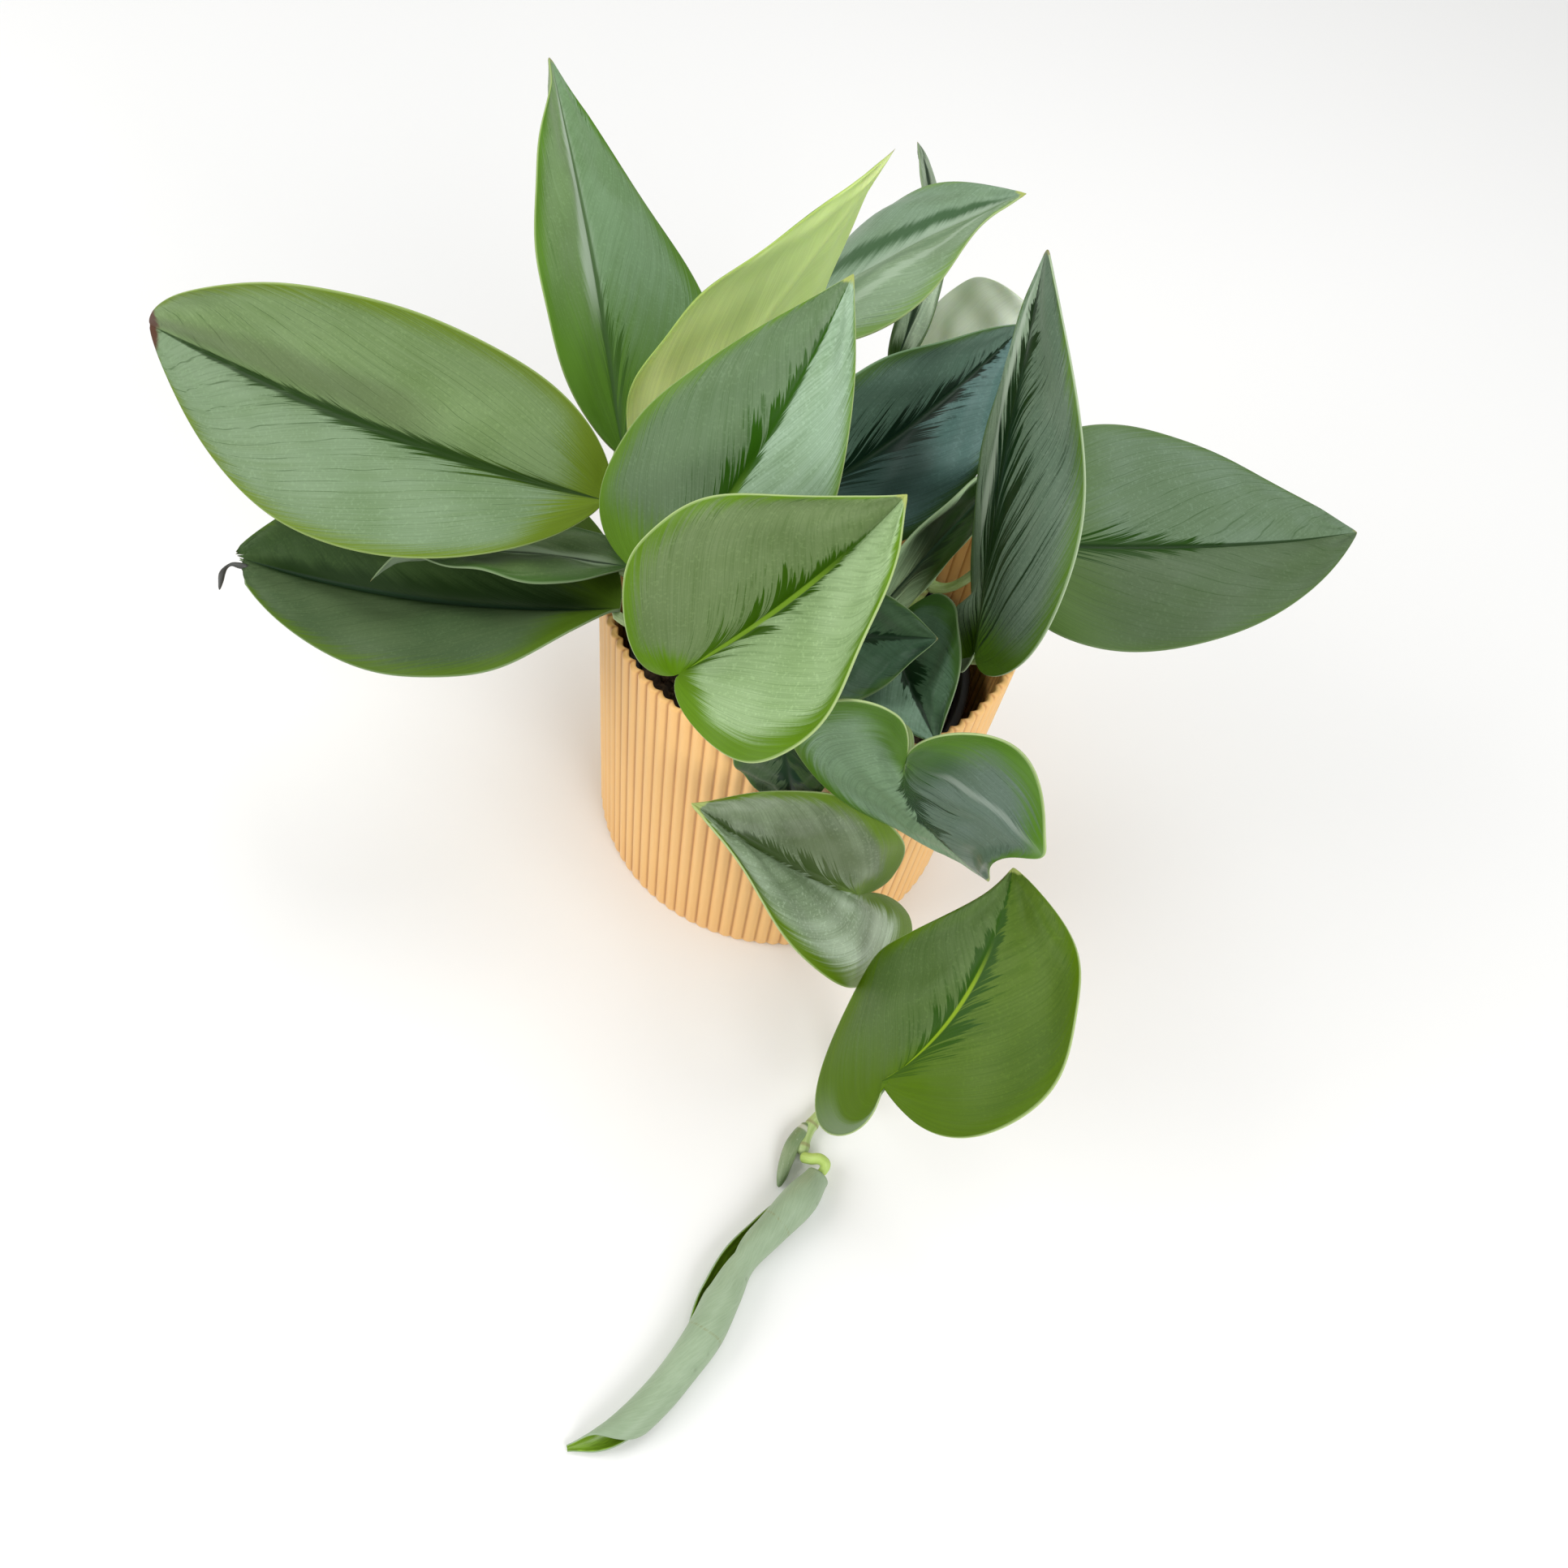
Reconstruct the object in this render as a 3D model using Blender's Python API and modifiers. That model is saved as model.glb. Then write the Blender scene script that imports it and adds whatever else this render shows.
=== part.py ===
"""A potted scindapsus: a ribbed cachepot, the nursery pot and soil inside it, and a plant of
upright shoots and one trailing vine, with each stem, petiole and leaf blade as its own solid.
The pot stands on z = 0 with its axis on Z. Numbers below are millimetres and degrees."""

import math

import bmesh
import bpy
import numpy as np

MM = 0.001
GAP = 0.35              # clearance between pieces that touch

# cachepot: a corrugated wall of half-round ribs, the same inside and out
POT_HEIGHT = 127.0
POT_BASE_RADIUS = 66.0
POT_RIM_RADIUS = 70.0
POT_WALL = 2.2
POT_FLOOR = 3.0
POT_FOOT_CHAMFER = 1.5
POT_FLOOR_CHAMFER = 2.0
RIB_COUNT = 90
RIB_DEPTH = 1.1
POINTS_PER_RIB = 4

# nursery pot: thin black wall with a rolled lip
NURSERY_HEIGHT = 87.0
NURSERY_RIM_RADIUS = 57.0
NURSERY_BASE_RADIUS = 45.0
NURSERY_WALL = 1.2
NURSERY_LIP_DROP = 7.0
NURSERY_LIP_PROUD = 1.8
TURNED_STEPS = 48

SOIL_TOP = 84.0
SOIL_DEPTH = 78.0
SOIL_SHOULDER = 6.0     # the soil's rounded edge: how far in from the wall, and how far down
SOIL_SHOULDER_DROP = 2.0

BLADE_THICKNESS = 1.0
BLADE_ROWS = 10
BLADE_COLUMNS = 6
PETIOLE_POINTS = 8
LOBE_REACH = 3.5        # how far a basal lobe of 1 draws its edge back, before t and 1 - t scale it
PETIOLE_SEAT = 1.0      # where the petiole ends under the midrib, from the blade's base
PETIOLE_BEND = 0.35     # reach of the petiole's two end directions, as a share of its span
PETIOLE_ENDS = (1.15, 0.85)
STEM_TAPER = 0.85
STEM_STEPS = 80

COLOURS = {
    "apricot plastic": ((0.86, 0.52, 0.17), 0.38),
    "black plastic": ((0.015, 0.015, 0.016), 0.45),
    "soil": ((0.035, 0.022, 0.014), 0.95),
    "stem green": ((0.20, 0.34, 0.10), 0.45),
    "leaf green": ((0.12, 0.26, 0.08), 0.35),
    "leaf silver green": ((0.10, 0.20, 0.12), 0.30),
    "leaf dark green": ((0.035, 0.085, 0.06), 0.28),
    "young leaf": ((0.42, 0.55, 0.16), 0.40),
    "rolled leaf": ((0.33, 0.46, 0.27), 0.45),
}

# stems: route points from the soil up, and the radius at the soil
STEMS = {
    "stem_left": {
        "route": [(-22, -4, 84.8), (-23.5, -4.5, 96), (-34, -8, 114), (-41, -11, 128), (-45, -14, 139)],
        "radius": 3.4,
    },
    "stem_centre": {
        "route": [(4, 12, 84.6), (3, 12, 100), (-2, 13, 124), (-8, 15, 142)],
        "radius": 3.0,
    },
    "stem_right": {
        "route": [(40, 3, 84.8), (40, 2.4, 96), (38, -10, 108), (37, -20, 120), (38, -26, 128)],
        "radius": 2.8,
    },
    "stem_side": {
        "route": [(33, 21, 84.6), (33, 21, 96), (35, 21, 110), (37, 21, 119)],
        "radius": 2.6,
    },
    "stem_back": {
        "route": [(2, 32, 84.6), (2, 34, 98), (3, 40, 118), (3, 46, 130)],
        "radius": 2.8,
    },
    "stem_small": {
        "route": [(14, -18, 84.6), (14, -19, 98), (15, -21, 116)],
        "radius": 2.2,
    },
    "stem_vine": {
        "route": [(24, -42, 84.8), (25, -44, 98), (27, -50, 118), (29.5, -56.5, 129), (32, -62.5, 132),
                  (34, -67, 129), (34.5, -66.5, 118), (35, -65.5, 100), (35, -65.5, 80), (36, -67, 60),
                  (41, -76, 42), (47, -92, 27), (49, -108, 13), (45, -120, 5.2), (38, -128, 3.2),
                  (35.2, -135, 3.0), (34.6, -142.3, 3.0)],
        "radius": 2.4,
    },
}

# the outline and bend that most blades share; each leaf below names only what differs
LEAF_DEFAULTS = {
    "lobe": (0.1, 0.1), "round": 0.55, "taper": 0.85, "drip": 0.04, "arch": 0.05, "sweep": 0.0,
    "fold": (10, 10), "cup": (0, 0), "lean": 0.0, "twist": 0, "hook": (0, 0),
    "acumen": (0, 0), "petiole": 1.5, "rise": 45, "colour": "leaf green",
}

# base: where the petiole meets the blade; tip: the far end of the midrib; roll: turn about the
# midrib from facing up; width: widest part; stem and height: where the petiole leaves its stem;
# rise: the angle at which the petiole comes up to the blade
LEAVES = {
    "left_large": {
        "base": (-67, -17, 164), "tip": (-219, 17, 163), "roll": -55, "width": 79,
        "lobe": (0.0, 0.05), "round": 0.7, "taper": 0.65, "sweep": -0.02, "fold": (15, 15),
        "cup": (10, 10), "lean": 0.05, "twist": -45, "petiole": 1.9, "rise": 30,
        "stem": "stem_left", "height": 130,
    },
    "left_low": {
        "base": (-57, -35, 137), "tip": (-182, -33, 121), "roll": 5, "width": 84,
        "lobe": (0.0, 0.0), "round": 0.5, "taper": 0.7, "arch": -0.04, "sweep": -0.02,
        "fold": (30, 30), "cup": (-60, 0), "lean": 0.15, "twist": -35,
        "colour": "leaf dark green", "stem": "stem_left", "height": 104,
    },
    "left_small": {
        "base": (-58, -24, 144), "tip": (-136, -36, 135), "roll": 30, "width": 34,
        "acumen": (0.4, 0.4),
        "lobe": (0.0, 0.05), "taper": 0.95, "sweep": 0.02, "fold": (20, 15), "cup": (-50, 5),
        "lean": -0.15, "twist": 15, "petiole": 1.2, "rise": 20,
        "stem": "stem_left", "height": 126,
    },
    "tall_left": {
        "base": (-68, 13, 153), "tip": (-121, 130, 206), "roll": 40, "width": 72,
        "acumen": (0.1, 0.25),
        "lobe": (0.0, 0.1), "round": 0.65, "taper": 0.8, "arch": 0.02, "fold": (10, 5),
        "cup": (-20, 5), "lean": 0.3, "twist": 35, "petiole": 1.7,
        "stem": "stem_left", "height": 128,
    },
    "pale_young": {
        "base": (-56, 6, 153), "tip": (-3, 45, 258), "roll": -95, "width": 48,
        "acumen": (0.45, 0.45),
        "lobe": (0.1, 0.0), "taper": 1.05, "arch": 0.02, "fold": (15, 10), "cup": (-20, 5),
        "twist": 20, "colour": "young leaf", "stem": "stem_left", "height": 134,
    },
    "centre": {
        "base": (-43, -39, 158), "tip": (-7, 4, 247), "roll": 20, "width": 66,
        "lobe": (0.15, 0.1), "taper": 0.95, "arch": 0.1, "sweep": 0.05, "fold": (10, 15),
        "cup": (-25, -20), "lean": -0.1, "twist": 5, "petiole": 1.8,
        "colour": "leaf silver green", "stem": "stem_left", "height": 137,
    },
    "front_heart": {
        "base": (-32, -75, 165), "tip": (18, -54, 230), "roll": 50, "width": 87,
        "acumen": (0.25, 0.1),
        "lobe": (0.15, 0.15), "round": 0.9, "taper": 1.05, "arch": -0.04, "sweep": 0.04,
        "fold": (30, 30), "cup": (-10, 45), "lean": -0.05, "twist": -30, "petiole": 2.0,
        "colour": "leaf silver green", "stem": "stem_left", "height": 99,
    },
    "back": {
        "base": (-35, 57, 167), "tip": (40, 103, 212), "roll": -20, "width": 86,
        "acumen": (0.15, 0.35),
        "lobe": (0.05, 0.0), "round": 0.6, "taper": 1.0, "fold": (15, 25), "cup": (-60, -60),
        "lean": -0.15, "twist": 25, "colour": "leaf silver green",
        "stem": "stem_centre", "height": 132,
    },
    "back_curled": {
        "base": (11, 76, 160), "tip": (3, 165, 180), "roll": 30, "width": 14,
        "arch": 0.1, "sweep": 0.03, "petiole": 1.2, "stem": "stem_back", "height": 124,
    },
    "back_right": {
        "base": (14, 77, 149), "tip": (61, 64, 190), "roll": -130, "width": 61,
        "round": 0.6, "arch": 0.0, "sweep": -0.03, "cup": (-5, 10), "lean": 0.1, "twist": 30,
        "rise": 10, "colour": "leaf silver green", "stem": "stem_back", "height": 110,
    },
    "dark_centre": {
        "base": (-6, 10, 158), "tip": (46, 56, 200), "roll": 60, "width": 59,
        "lobe": (0.15, 0.1), "round": 0.5, "arch": 0.07, "fold": (15, 10), "cup": (-5, -5),
        "twist": 15, "colour": "leaf dark green", "stem": "stem_centre", "height": 140,
    },
    "tall_right": {
        "base": (50, -40, 159), "tip": (42, 20, 255), "roll": -80, "width": 68,
        "acumen": (0.2, 0),
        "lobe": (0.2, 0.05), "taper": 0.8, "arch": 0.03, "sweep": 0.03, "fold": (-10, 10),
        "cup": (10, -50), "lean": 0.25, "twist": 15, "petiole": 1.7,
        "colour": "leaf dark green", "stem": "stem_right", "height": 120,
    },
    "right_large": {
        "base": (58, 7, 157), "tip": (170, 47, 153), "roll": 20, "width": 73,
        "lobe": (0.1, 0.05), "round": 0.5, "taper": 0.9, "arch": 0.07, "sweep": 0.05,
        "fold": (5, 15), "cup": (0, -20), "lean": -0.05, "twist": -20, "petiole": 1.8,
        "stem": "stem_side", "height": 116,
    },
    "dark_low": {
        "base": (19, -23, 142), "tip": (56, 34, 168), "roll": 80, "width": 42,
        "arch": -0.01, "sweep": -0.01, "fold": (10, 0), "cup": (-5, -25), "petiole": 1.3,
        "colour": "leaf dark green", "stem": "stem_small", "height": 114,
    },
    "small_right": {
        "base": (5, -38, 144), "tip": (38, -43, 164), "roll": 35, "width": 37,
        "round": 0.5, "taper": 0.9, "arch": 0.08, "sweep": -0.02, "cup": (0, -5), "lean": 0.1,
        "petiole": 1.2, "colour": "leaf dark green", "stem": "stem_small", "height": 104,
    },
    "small_front": {
        "base": (25, -25, 144), "tip": (44, -66, 145), "roll": 30, "width": 41,
        "round": 0.5, "arch": 0.08, "sweep": 0.01, "fold": (15, 15), "cup": (5, 0),
        "lean": -0.1, "petiole": 1.2, "colour": "leaf dark green",
        "stem": "stem_small", "height": 110,
    },
    "rim_heart": {
        "base": (34, -90, 166), "tip": (69, -90, 115), "roll": 115, "width": 77,
        "lobe": (0.45, 0.5), "round": 0.9, "arch": 0.02, "sweep": 0.17, "fold": (-10, -10),
        "cup": (25, 20), "lean": -0.1, "twist": 25, "hook": (15, 0), "petiole": 1.4,
        "colour": "leaf silver green", "stem": "stem_vine", "height": 131,
    },
    "rim_left_heart": {
        "base": (33, -82, 78), "tip": (-23, -89, 122), "roll": -11, "width": 58,
        "lobe": (0.6, 0.25), "round": 0.8, "taper": 0.95, "sweep": -0.05, "fold": (30, 29),
        "cup": (-45, 20), "lean": -0.05, "twist": 30, "hook": (25, 0), "petiole": 1.3,
        "colour": "leaf silver green", "stem": "stem_vine", "height": 62,
    },
    "vine_heart": {
        "base": (51, -139, 68), "tip": (75, -86, 119), "roll": -11, "width": 73,
        "lobe": (0.4, 0.05), "round": 0.9, "arch": 0.09, "sweep": 0.13, "fold": (-14, 0),
        "cup": (0, 35), "lean": 0.1, "twist": 10, "hook": (70, 0),
        "stem": "stem_vine", "height": 10,
    },
    "under_rim": {
        "base": (0, -73, 137), "tip": (8, -72.3, 104), "roll": 87, "width": 32,
        "round": 0.5, "arch": 0.0, "fold": (-2, -4), "cup": (-10, -10), "petiole": 1.2,
        "colour": "leaf dark green", "stem": "stem_vine", "height": 98,
    },
}

# the newest leaf, still rolled into a scroll: axis points, the radius at each, the side on which
# the scroll opens and how far round the sheet goes; pitch: growth of the radius in one turn, less
# where the radius is under full_pitch; lift: height of the axis over the table, less its radius
ROLLED_LEAF = {
    "route": [(40.8, -149.3), (36, -159), (28.3, -171), (20.5, -183), (17, -195), (13.5, -208),
              (8, -220), (2.4, -230), (-4.7, -239.5), (-11.5, -245), (-20.3, -248.3)],
    "radius": [3.2, 5.2, 5.0, 5.5, 6.2, 6.0, 5.4, 5.0, 4.3, 3.2, 1.0],
    "opening": [-90, -90, -85, -80, -90, -120, -170, -210, -260, -290, -310],
    "turn": [380, 395, 385, 365, 370, 390, 400, 390, 330, 240, 130],
    "thickness": 0.8, "pitch": 1.6, "full_pitch": 3.2, "lift": 1.3, "rows": 26, "columns": 16,
}
ROLLED_PETIOLE = {
    "route": [(35.4, -144.7, 3.8), (37.8, -144.2, 6.2), (40.6, -144.2, 7.6), (42.8, -145.4, 7.4),
              (42.6, -147.2, 6.0), (41.3, -148.5, 4.6)],
    "radius": [1.9, 1.9, 1.9, 1.8, 1.6, 1.2],
}
VINE_SHEATH = {
    "route": [(31.4, -135.5, 2.6), (30.2, -141, 3.2), (29.9, -146, 3.2), (29.6, -151, 2.6),
              (29.2, -154.3, 1.6)],
    "radius": [0.9, 1.9, 2.5, 1.9, 0.6],
}


def clear_scene():
    for item in list(bpy.data.objects):
        bpy.data.objects.remove(item, do_unlink=True)


def make_collection(name):
    collection = bpy.data.collections.new(name)
    bpy.context.scene.collection.children.link(collection)
    return collection


def make_material(node_name, colour_name):
    colour, roughness = COLOURS[colour_name]
    material = bpy.data.materials.new(node_name)
    material.use_nodes = True
    shader = material.node_tree.nodes["Principled BSDF"]
    shader.inputs["Base Color"].default_value = (*colour, 1.0)
    shader.inputs["Roughness"].default_value = roughness
    shader.inputs["Metallic"].default_value = 0.0
    material.diffuse_color = (*colour, 1.0)
    return material


def add_object(name, data, colour_name, collection):
    item = bpy.data.objects.new(name, data)
    data.materials.append(make_material(name, colour_name))
    collection.objects.link(item)
    return item


def unit(vectors):
    vectors = np.asarray(vectors, float)
    return vectors / np.linalg.norm(vectors, axis=-1, keepdims=True)


def smooth_route(points, count):
    """Points spaced evenly in parameter along a Catmull-Rom curve through the given points."""
    points = np.array(points, float)
    ends = np.vstack([2 * points[0] - points[1], points, 2 * points[-1] - points[-2]])
    place = np.linspace(0, len(points) - 1, count)
    span = np.minimum(place.astype(int), len(points) - 2)
    u = (place - span)[:, None]
    a, b, c, d = ends[span], ends[span + 1], ends[span + 2], ends[span + 3]
    return 0.5 * (2 * b + (c - a) * u + (2 * a - 5 * b + 4 * c - d) * u**2
                  + (3 * b - 3 * c + d - a) * u**3)


def add_tube(name, points, radii, colour_name, collection):
    """A round bar along a route, from a POLY curve with a bevel and filled caps."""
    curve = bpy.data.curves.new(name, "CURVE")
    curve.dimensions = "3D"
    curve.bevel_depth = MM
    curve.bevel_resolution = 2
    curve.use_fill_caps = True
    spline = curve.splines.new("POLY")
    spline.points.add(len(points) - 1)
    for point, place, radius in zip(spline.points, points, radii):
        point.co = (*(np.array(place) * MM), 1.0)
        point.radius = radius
    return add_object(name, curve, colour_name, collection)


# ---- pots and soil

def rib_ring(radius, height, ribbed=True):
    """A ring of points: radius - depth * (1 - |cos|), so that each rib is a half round."""
    count = RIB_COUNT * POINTS_PER_RIB
    angle = np.arange(count) * 2 * math.pi / count
    groove = 1 - np.abs(np.cos(angle * RIB_COUNT / 2)) if ribbed else np.ones(count)
    reach = radius - RIB_DEPTH * groove
    return [(r * math.cos(a), r * math.sin(a), height) for r, a in zip(reach, angle)]


def loft(name, rings):
    """A closed body through rings of equal count, with a flat cap on the first and the last."""
    mesh = bpy.data.meshes.new(name)
    bm = bmesh.new()
    loops = [[bm.verts.new([c * MM for c in point]) for point in ring] for ring in rings]
    count = len(rings[0])
    for lower, upper in zip(loops, loops[1:]):
        for i in range(count):
            j = (i + 1) % count
            bm.faces.new((lower[i], lower[j], upper[j], upper[i]))
    bm.faces.new(loops[0][::-1])
    bm.faces.new(loops[-1])
    bmesh.ops.recalc_face_normals(bm, faces=bm.faces)
    bm.to_mesh(mesh)
    bm.free()
    return mesh


def add_cachepot(collection):
    inner_rim = POT_RIM_RADIUS - POT_WALL
    inner_floor = POT_BASE_RADIUS - POT_WALL
    rings = [
        rib_ring(POT_BASE_RADIUS - POT_FOOT_CHAMFER, 0, ribbed=False),
        rib_ring(POT_BASE_RADIUS, POT_FOOT_CHAMFER),
        rib_ring(POT_RIM_RADIUS, POT_HEIGHT),
        rib_ring(inner_rim, POT_HEIGHT),
        rib_ring(inner_floor, POT_FLOOR + POT_FLOOR_CHAMFER),
        rib_ring(inner_floor - POT_FLOOR_CHAMFER, POT_FLOOR, ribbed=False),
    ]
    item = add_object("cachepot", loft("cachepot", rings), "apricot plastic", collection)
    item.data.shade_smooth()
    item.data.set_sharp_from_angle(angle=math.radians(50))


def add_turned(name, profile, colour_name, collection):
    """A profile turned about Z with a Screw modifier: it starts at the bottom centre, climbs the
    outer side and ends back on the axis."""
    mesh = bpy.data.meshes.new(name)
    bm = bmesh.new()
    points = [bm.verts.new((x * MM, 0, z * MM)) for x, z in profile]
    for a, b in zip(points, points[1:]):
        bm.edges.new((a, b))
    bm.to_mesh(mesh)
    bm.free()
    item = add_object(name, mesh, colour_name, collection)
    screw = item.modifiers.new("turn", "SCREW")
    screw.axis = "Z"
    screw.steps = screw.render_steps = TURNED_STEPS
    screw.use_merge_vertices = True
    screw.merge_threshold = 0.00001
    screw.use_normal_flip = True
    return item


def add_nursery_pot(collection):
    bottom = POT_FLOOR + GAP
    top = bottom + NURSERY_HEIGHT
    lip = NURSERY_RIM_RADIUS + NURSERY_LIP_PROUD
    profile = [
        (0, bottom),
        (NURSERY_BASE_RADIUS, bottom),
        (NURSERY_RIM_RADIUS - 0.4, top - NURSERY_LIP_DROP),
        (lip, top - NURSERY_LIP_DROP),
        (lip, top),
        (NURSERY_RIM_RADIUS - NURSERY_WALL, top),
        (NURSERY_BASE_RADIUS - NURSERY_WALL, bottom + NURSERY_WALL),
        (0, bottom + NURSERY_WALL),
    ]
    add_turned("nursery_pot", profile, "black plastic", collection)


def wall_radius(height):
    """Inner radius of the nursery pot at a height above the table."""
    bottom = POT_FLOOR + GAP
    share = (height - bottom) / NURSERY_HEIGHT
    slope = NURSERY_RIM_RADIUS - NURSERY_BASE_RADIUS
    return NURSERY_BASE_RADIUS + slope * share - NURSERY_WALL


def add_soil(collection):
    low = SOIL_TOP - SOIL_DEPTH
    shoulder = SOIL_TOP - SOIL_SHOULDER_DROP
    profile = [
        (0, low),
        (wall_radius(low) - GAP, low),
        (wall_radius(shoulder) - GAP, shoulder),
        (wall_radius(SOIL_TOP) - SOIL_SHOULDER, SOIL_TOP),
        (0, SOIL_TOP),
    ]
    add_turned("soil", profile, "soil", collection)


# ---- leaves

def leaf_frame(leaf):
    """Base, length, midrib direction, and the facing direction turned by roll from straight up."""
    base, tip = np.array(leaf["base"], float), np.array(leaf["tip"], float)
    length = np.linalg.norm(tip - base)
    along = (tip - base) / length
    up = unit(np.array([0, 0, 1.0]) - along[2] * along)
    roll = math.radians(leaf["roll"])
    return base, length, along, up * math.cos(roll) + np.cross(along, up) * math.sin(roll)


def midrib(leaf, s):
    """Places s along the midrib, 0 at the base to 1 at the tip, with the directions there: onward,
    out of the upper face and to the right. It bows by arch and sweep, and twists about itself."""
    base, length, along, face = leaf_frame(leaf)
    bow_way = leaf["arch"] * face + leaf["sweep"] * np.cross(along, face)
    s = s[:, None]
    place = base + length * (s * along + 4 * s * (1 - s) * bow_way)
    onward = unit(along + (4 - 8 * s) * bow_way)
    normal = unit(face - (onward @ face)[:, None] * onward)
    right = np.cross(onward, normal)
    turn = np.radians(leaf["twist"]) * (s - 0.5)
    return (place, onward, normal * np.cos(turn) + right * np.sin(turn),
            right * np.cos(turn) - normal * np.sin(turn))


def blade_points(leaf, t, v):
    """The blade as a function of t, 0 at the base to 1 at the tip, and v, -1 left to 1 right.
    Half outline: width t^round (1-t)^taper, narrowed by the acumen's share at the tip, set back by
    the basal lobes and drawn out at the drip tip, then the lobes hooked in. Across: an arc that leaves the midrib at the fold angle and
    turns by the cup angle."""
    length = leaf_frame(leaf)[1]
    on_right = v > 0

    def each(key):
        return np.where(on_right, leaf[key][1], leaf[key][0])

    a, b = leaf["round"], leaf["taper"]
    peak = (a / (a + b))**a * (b / (a + b))**b
    half = leaf["width"] / 2 * (1 + leaf["lean"] * np.where(on_right, 1, -1))
    out = half * t**a * (1 - t)**b / peak * (1 - each("acumen") * t**6)
    ahead = t - LOBE_REACH * each("lobe") * np.sqrt(t) * (1 - t)**2 + leaf["drip"] * t**14
    ahead = ahead / (1 + leaf["drip"]) * length
    hook = np.radians(each("hook")) * (1 - t)**3
    edge_ahead = ahead * np.cos(hook) - out * np.sin(hook)
    edge_out = ahead * np.sin(hook) + out * np.cos(hook)

    centre, _, normal, lateral = midrib(leaf, t + (edge_ahead / length - t) * np.abs(v))
    across = np.abs(v) * edge_out
    fold = np.radians(each("fold"))
    bend = np.radians(each("cup")) / half
    bend = np.where(np.abs(bend) < 1e-6, 1e-6, bend)
    sideways = (np.sin(fold + bend * across) - np.sin(fold)) / bend
    raised = (np.cos(fold) - np.cos(fold + bend * across)) / bend
    sideways = sideways * np.where(on_right, 1, -1)
    return centre + sideways[:, None] * lateral + raised[:, None] * normal


def add_blade(name, leaf, collection):
    """A grid moved onto the blade surface, welded at its two ends and given its thickness."""
    mesh = bpy.data.meshes.new(name)
    bm = bmesh.new()
    bmesh.ops.create_grid(bm, x_segments=BLADE_ROWS, y_segments=BLADE_COLUMNS, size=1.0)
    grid = np.array([vertex.co[:2] for vertex in bm.verts])
    t = (1 - np.cos(math.pi * (grid[:, 0] + 1) / 2)) / 2
    for vertex, place in zip(bm.verts, blade_points(leaf, t, grid[:, 1])):
        vertex.co = place * MM
    bmesh.ops.remove_doubles(bm, verts=bm.verts, dist=0.00001)
    bm.to_mesh(mesh)
    bm.free()
    item = add_object(name, mesh, leaf["colour"], collection)
    solidify = item.modifiers.new("thickness", "SOLIDIFY")
    solidify.thickness = BLADE_THICKNESS * MM
    solidify.offset = 0
    item.data.shade_smooth()


def stem_node(leaf):
    """The point and direction of the leaf's stem at the height where the petiole leaves it."""
    line = smooth_route(STEMS[leaf["stem"]]["route"], STEM_STEPS)
    crest = np.argmax(line[:, 2])
    climbing = np.arange(len(line)) <= crest
    rises = leaf["height"] > line[0, 2]
    miss = np.abs(line[:, 2] - leaf["height"]) + np.where(climbing == rises, 0, 1000)
    nearest = min(int(np.argmin(miss)), len(line) - 2)
    return line[nearest], unit(line[nearest + 1] - line[nearest])


def petiole_route(leaf):
    """A bend that leaves the stem's side and comes up to the blade's base from underneath."""
    node, grows = stem_node(leaf)
    seat = np.array([PETIOLE_SEAT / leaf_frame(leaf)[1]])
    place, onward, normal, _ = (vector[0] for vector in midrib(leaf, seat))
    toward = place - node
    outward = unit(toward - (toward @ grows) * grows)
    clear = STEMS[leaf["stem"]]["radius"] + GAP + 0.75 * leaf["petiole"]
    start = node + outward * clear
    start_way = unit(outward * 0.8 + grows * 0.6)
    rise = math.radians(leaf["rise"])
    end_way = onward * math.cos(rise) + normal * math.sin(rise)
    drop = BLADE_THICKNESS / 2 + GAP + 0.85 * leaf["petiole"] * math.cos(rise)
    end = place - normal * drop
    reach = np.linalg.norm(end - start) * PETIOLE_BEND
    a, b, c, d = start, start + start_way * reach, end - end_way * reach, end
    u = np.linspace(0, 1, PETIOLE_POINTS)[:, None]
    return a * (1 - u)**3 + 3 * b * u * (1 - u)**2 + 3 * c * u**2 * (1 - u) + d * u**3


def add_leaf(name, own, collection):
    leaf = {**LEAF_DEFAULTS, **own}
    add_blade("leaf_" + name, leaf, collection)
    route = petiole_route(leaf)
    radii = leaf["petiole"] * np.linspace(*PETIOLE_ENDS, PETIOLE_POINTS)
    add_tube("petiole_" + name, route, radii, "stem green", collection)


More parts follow.
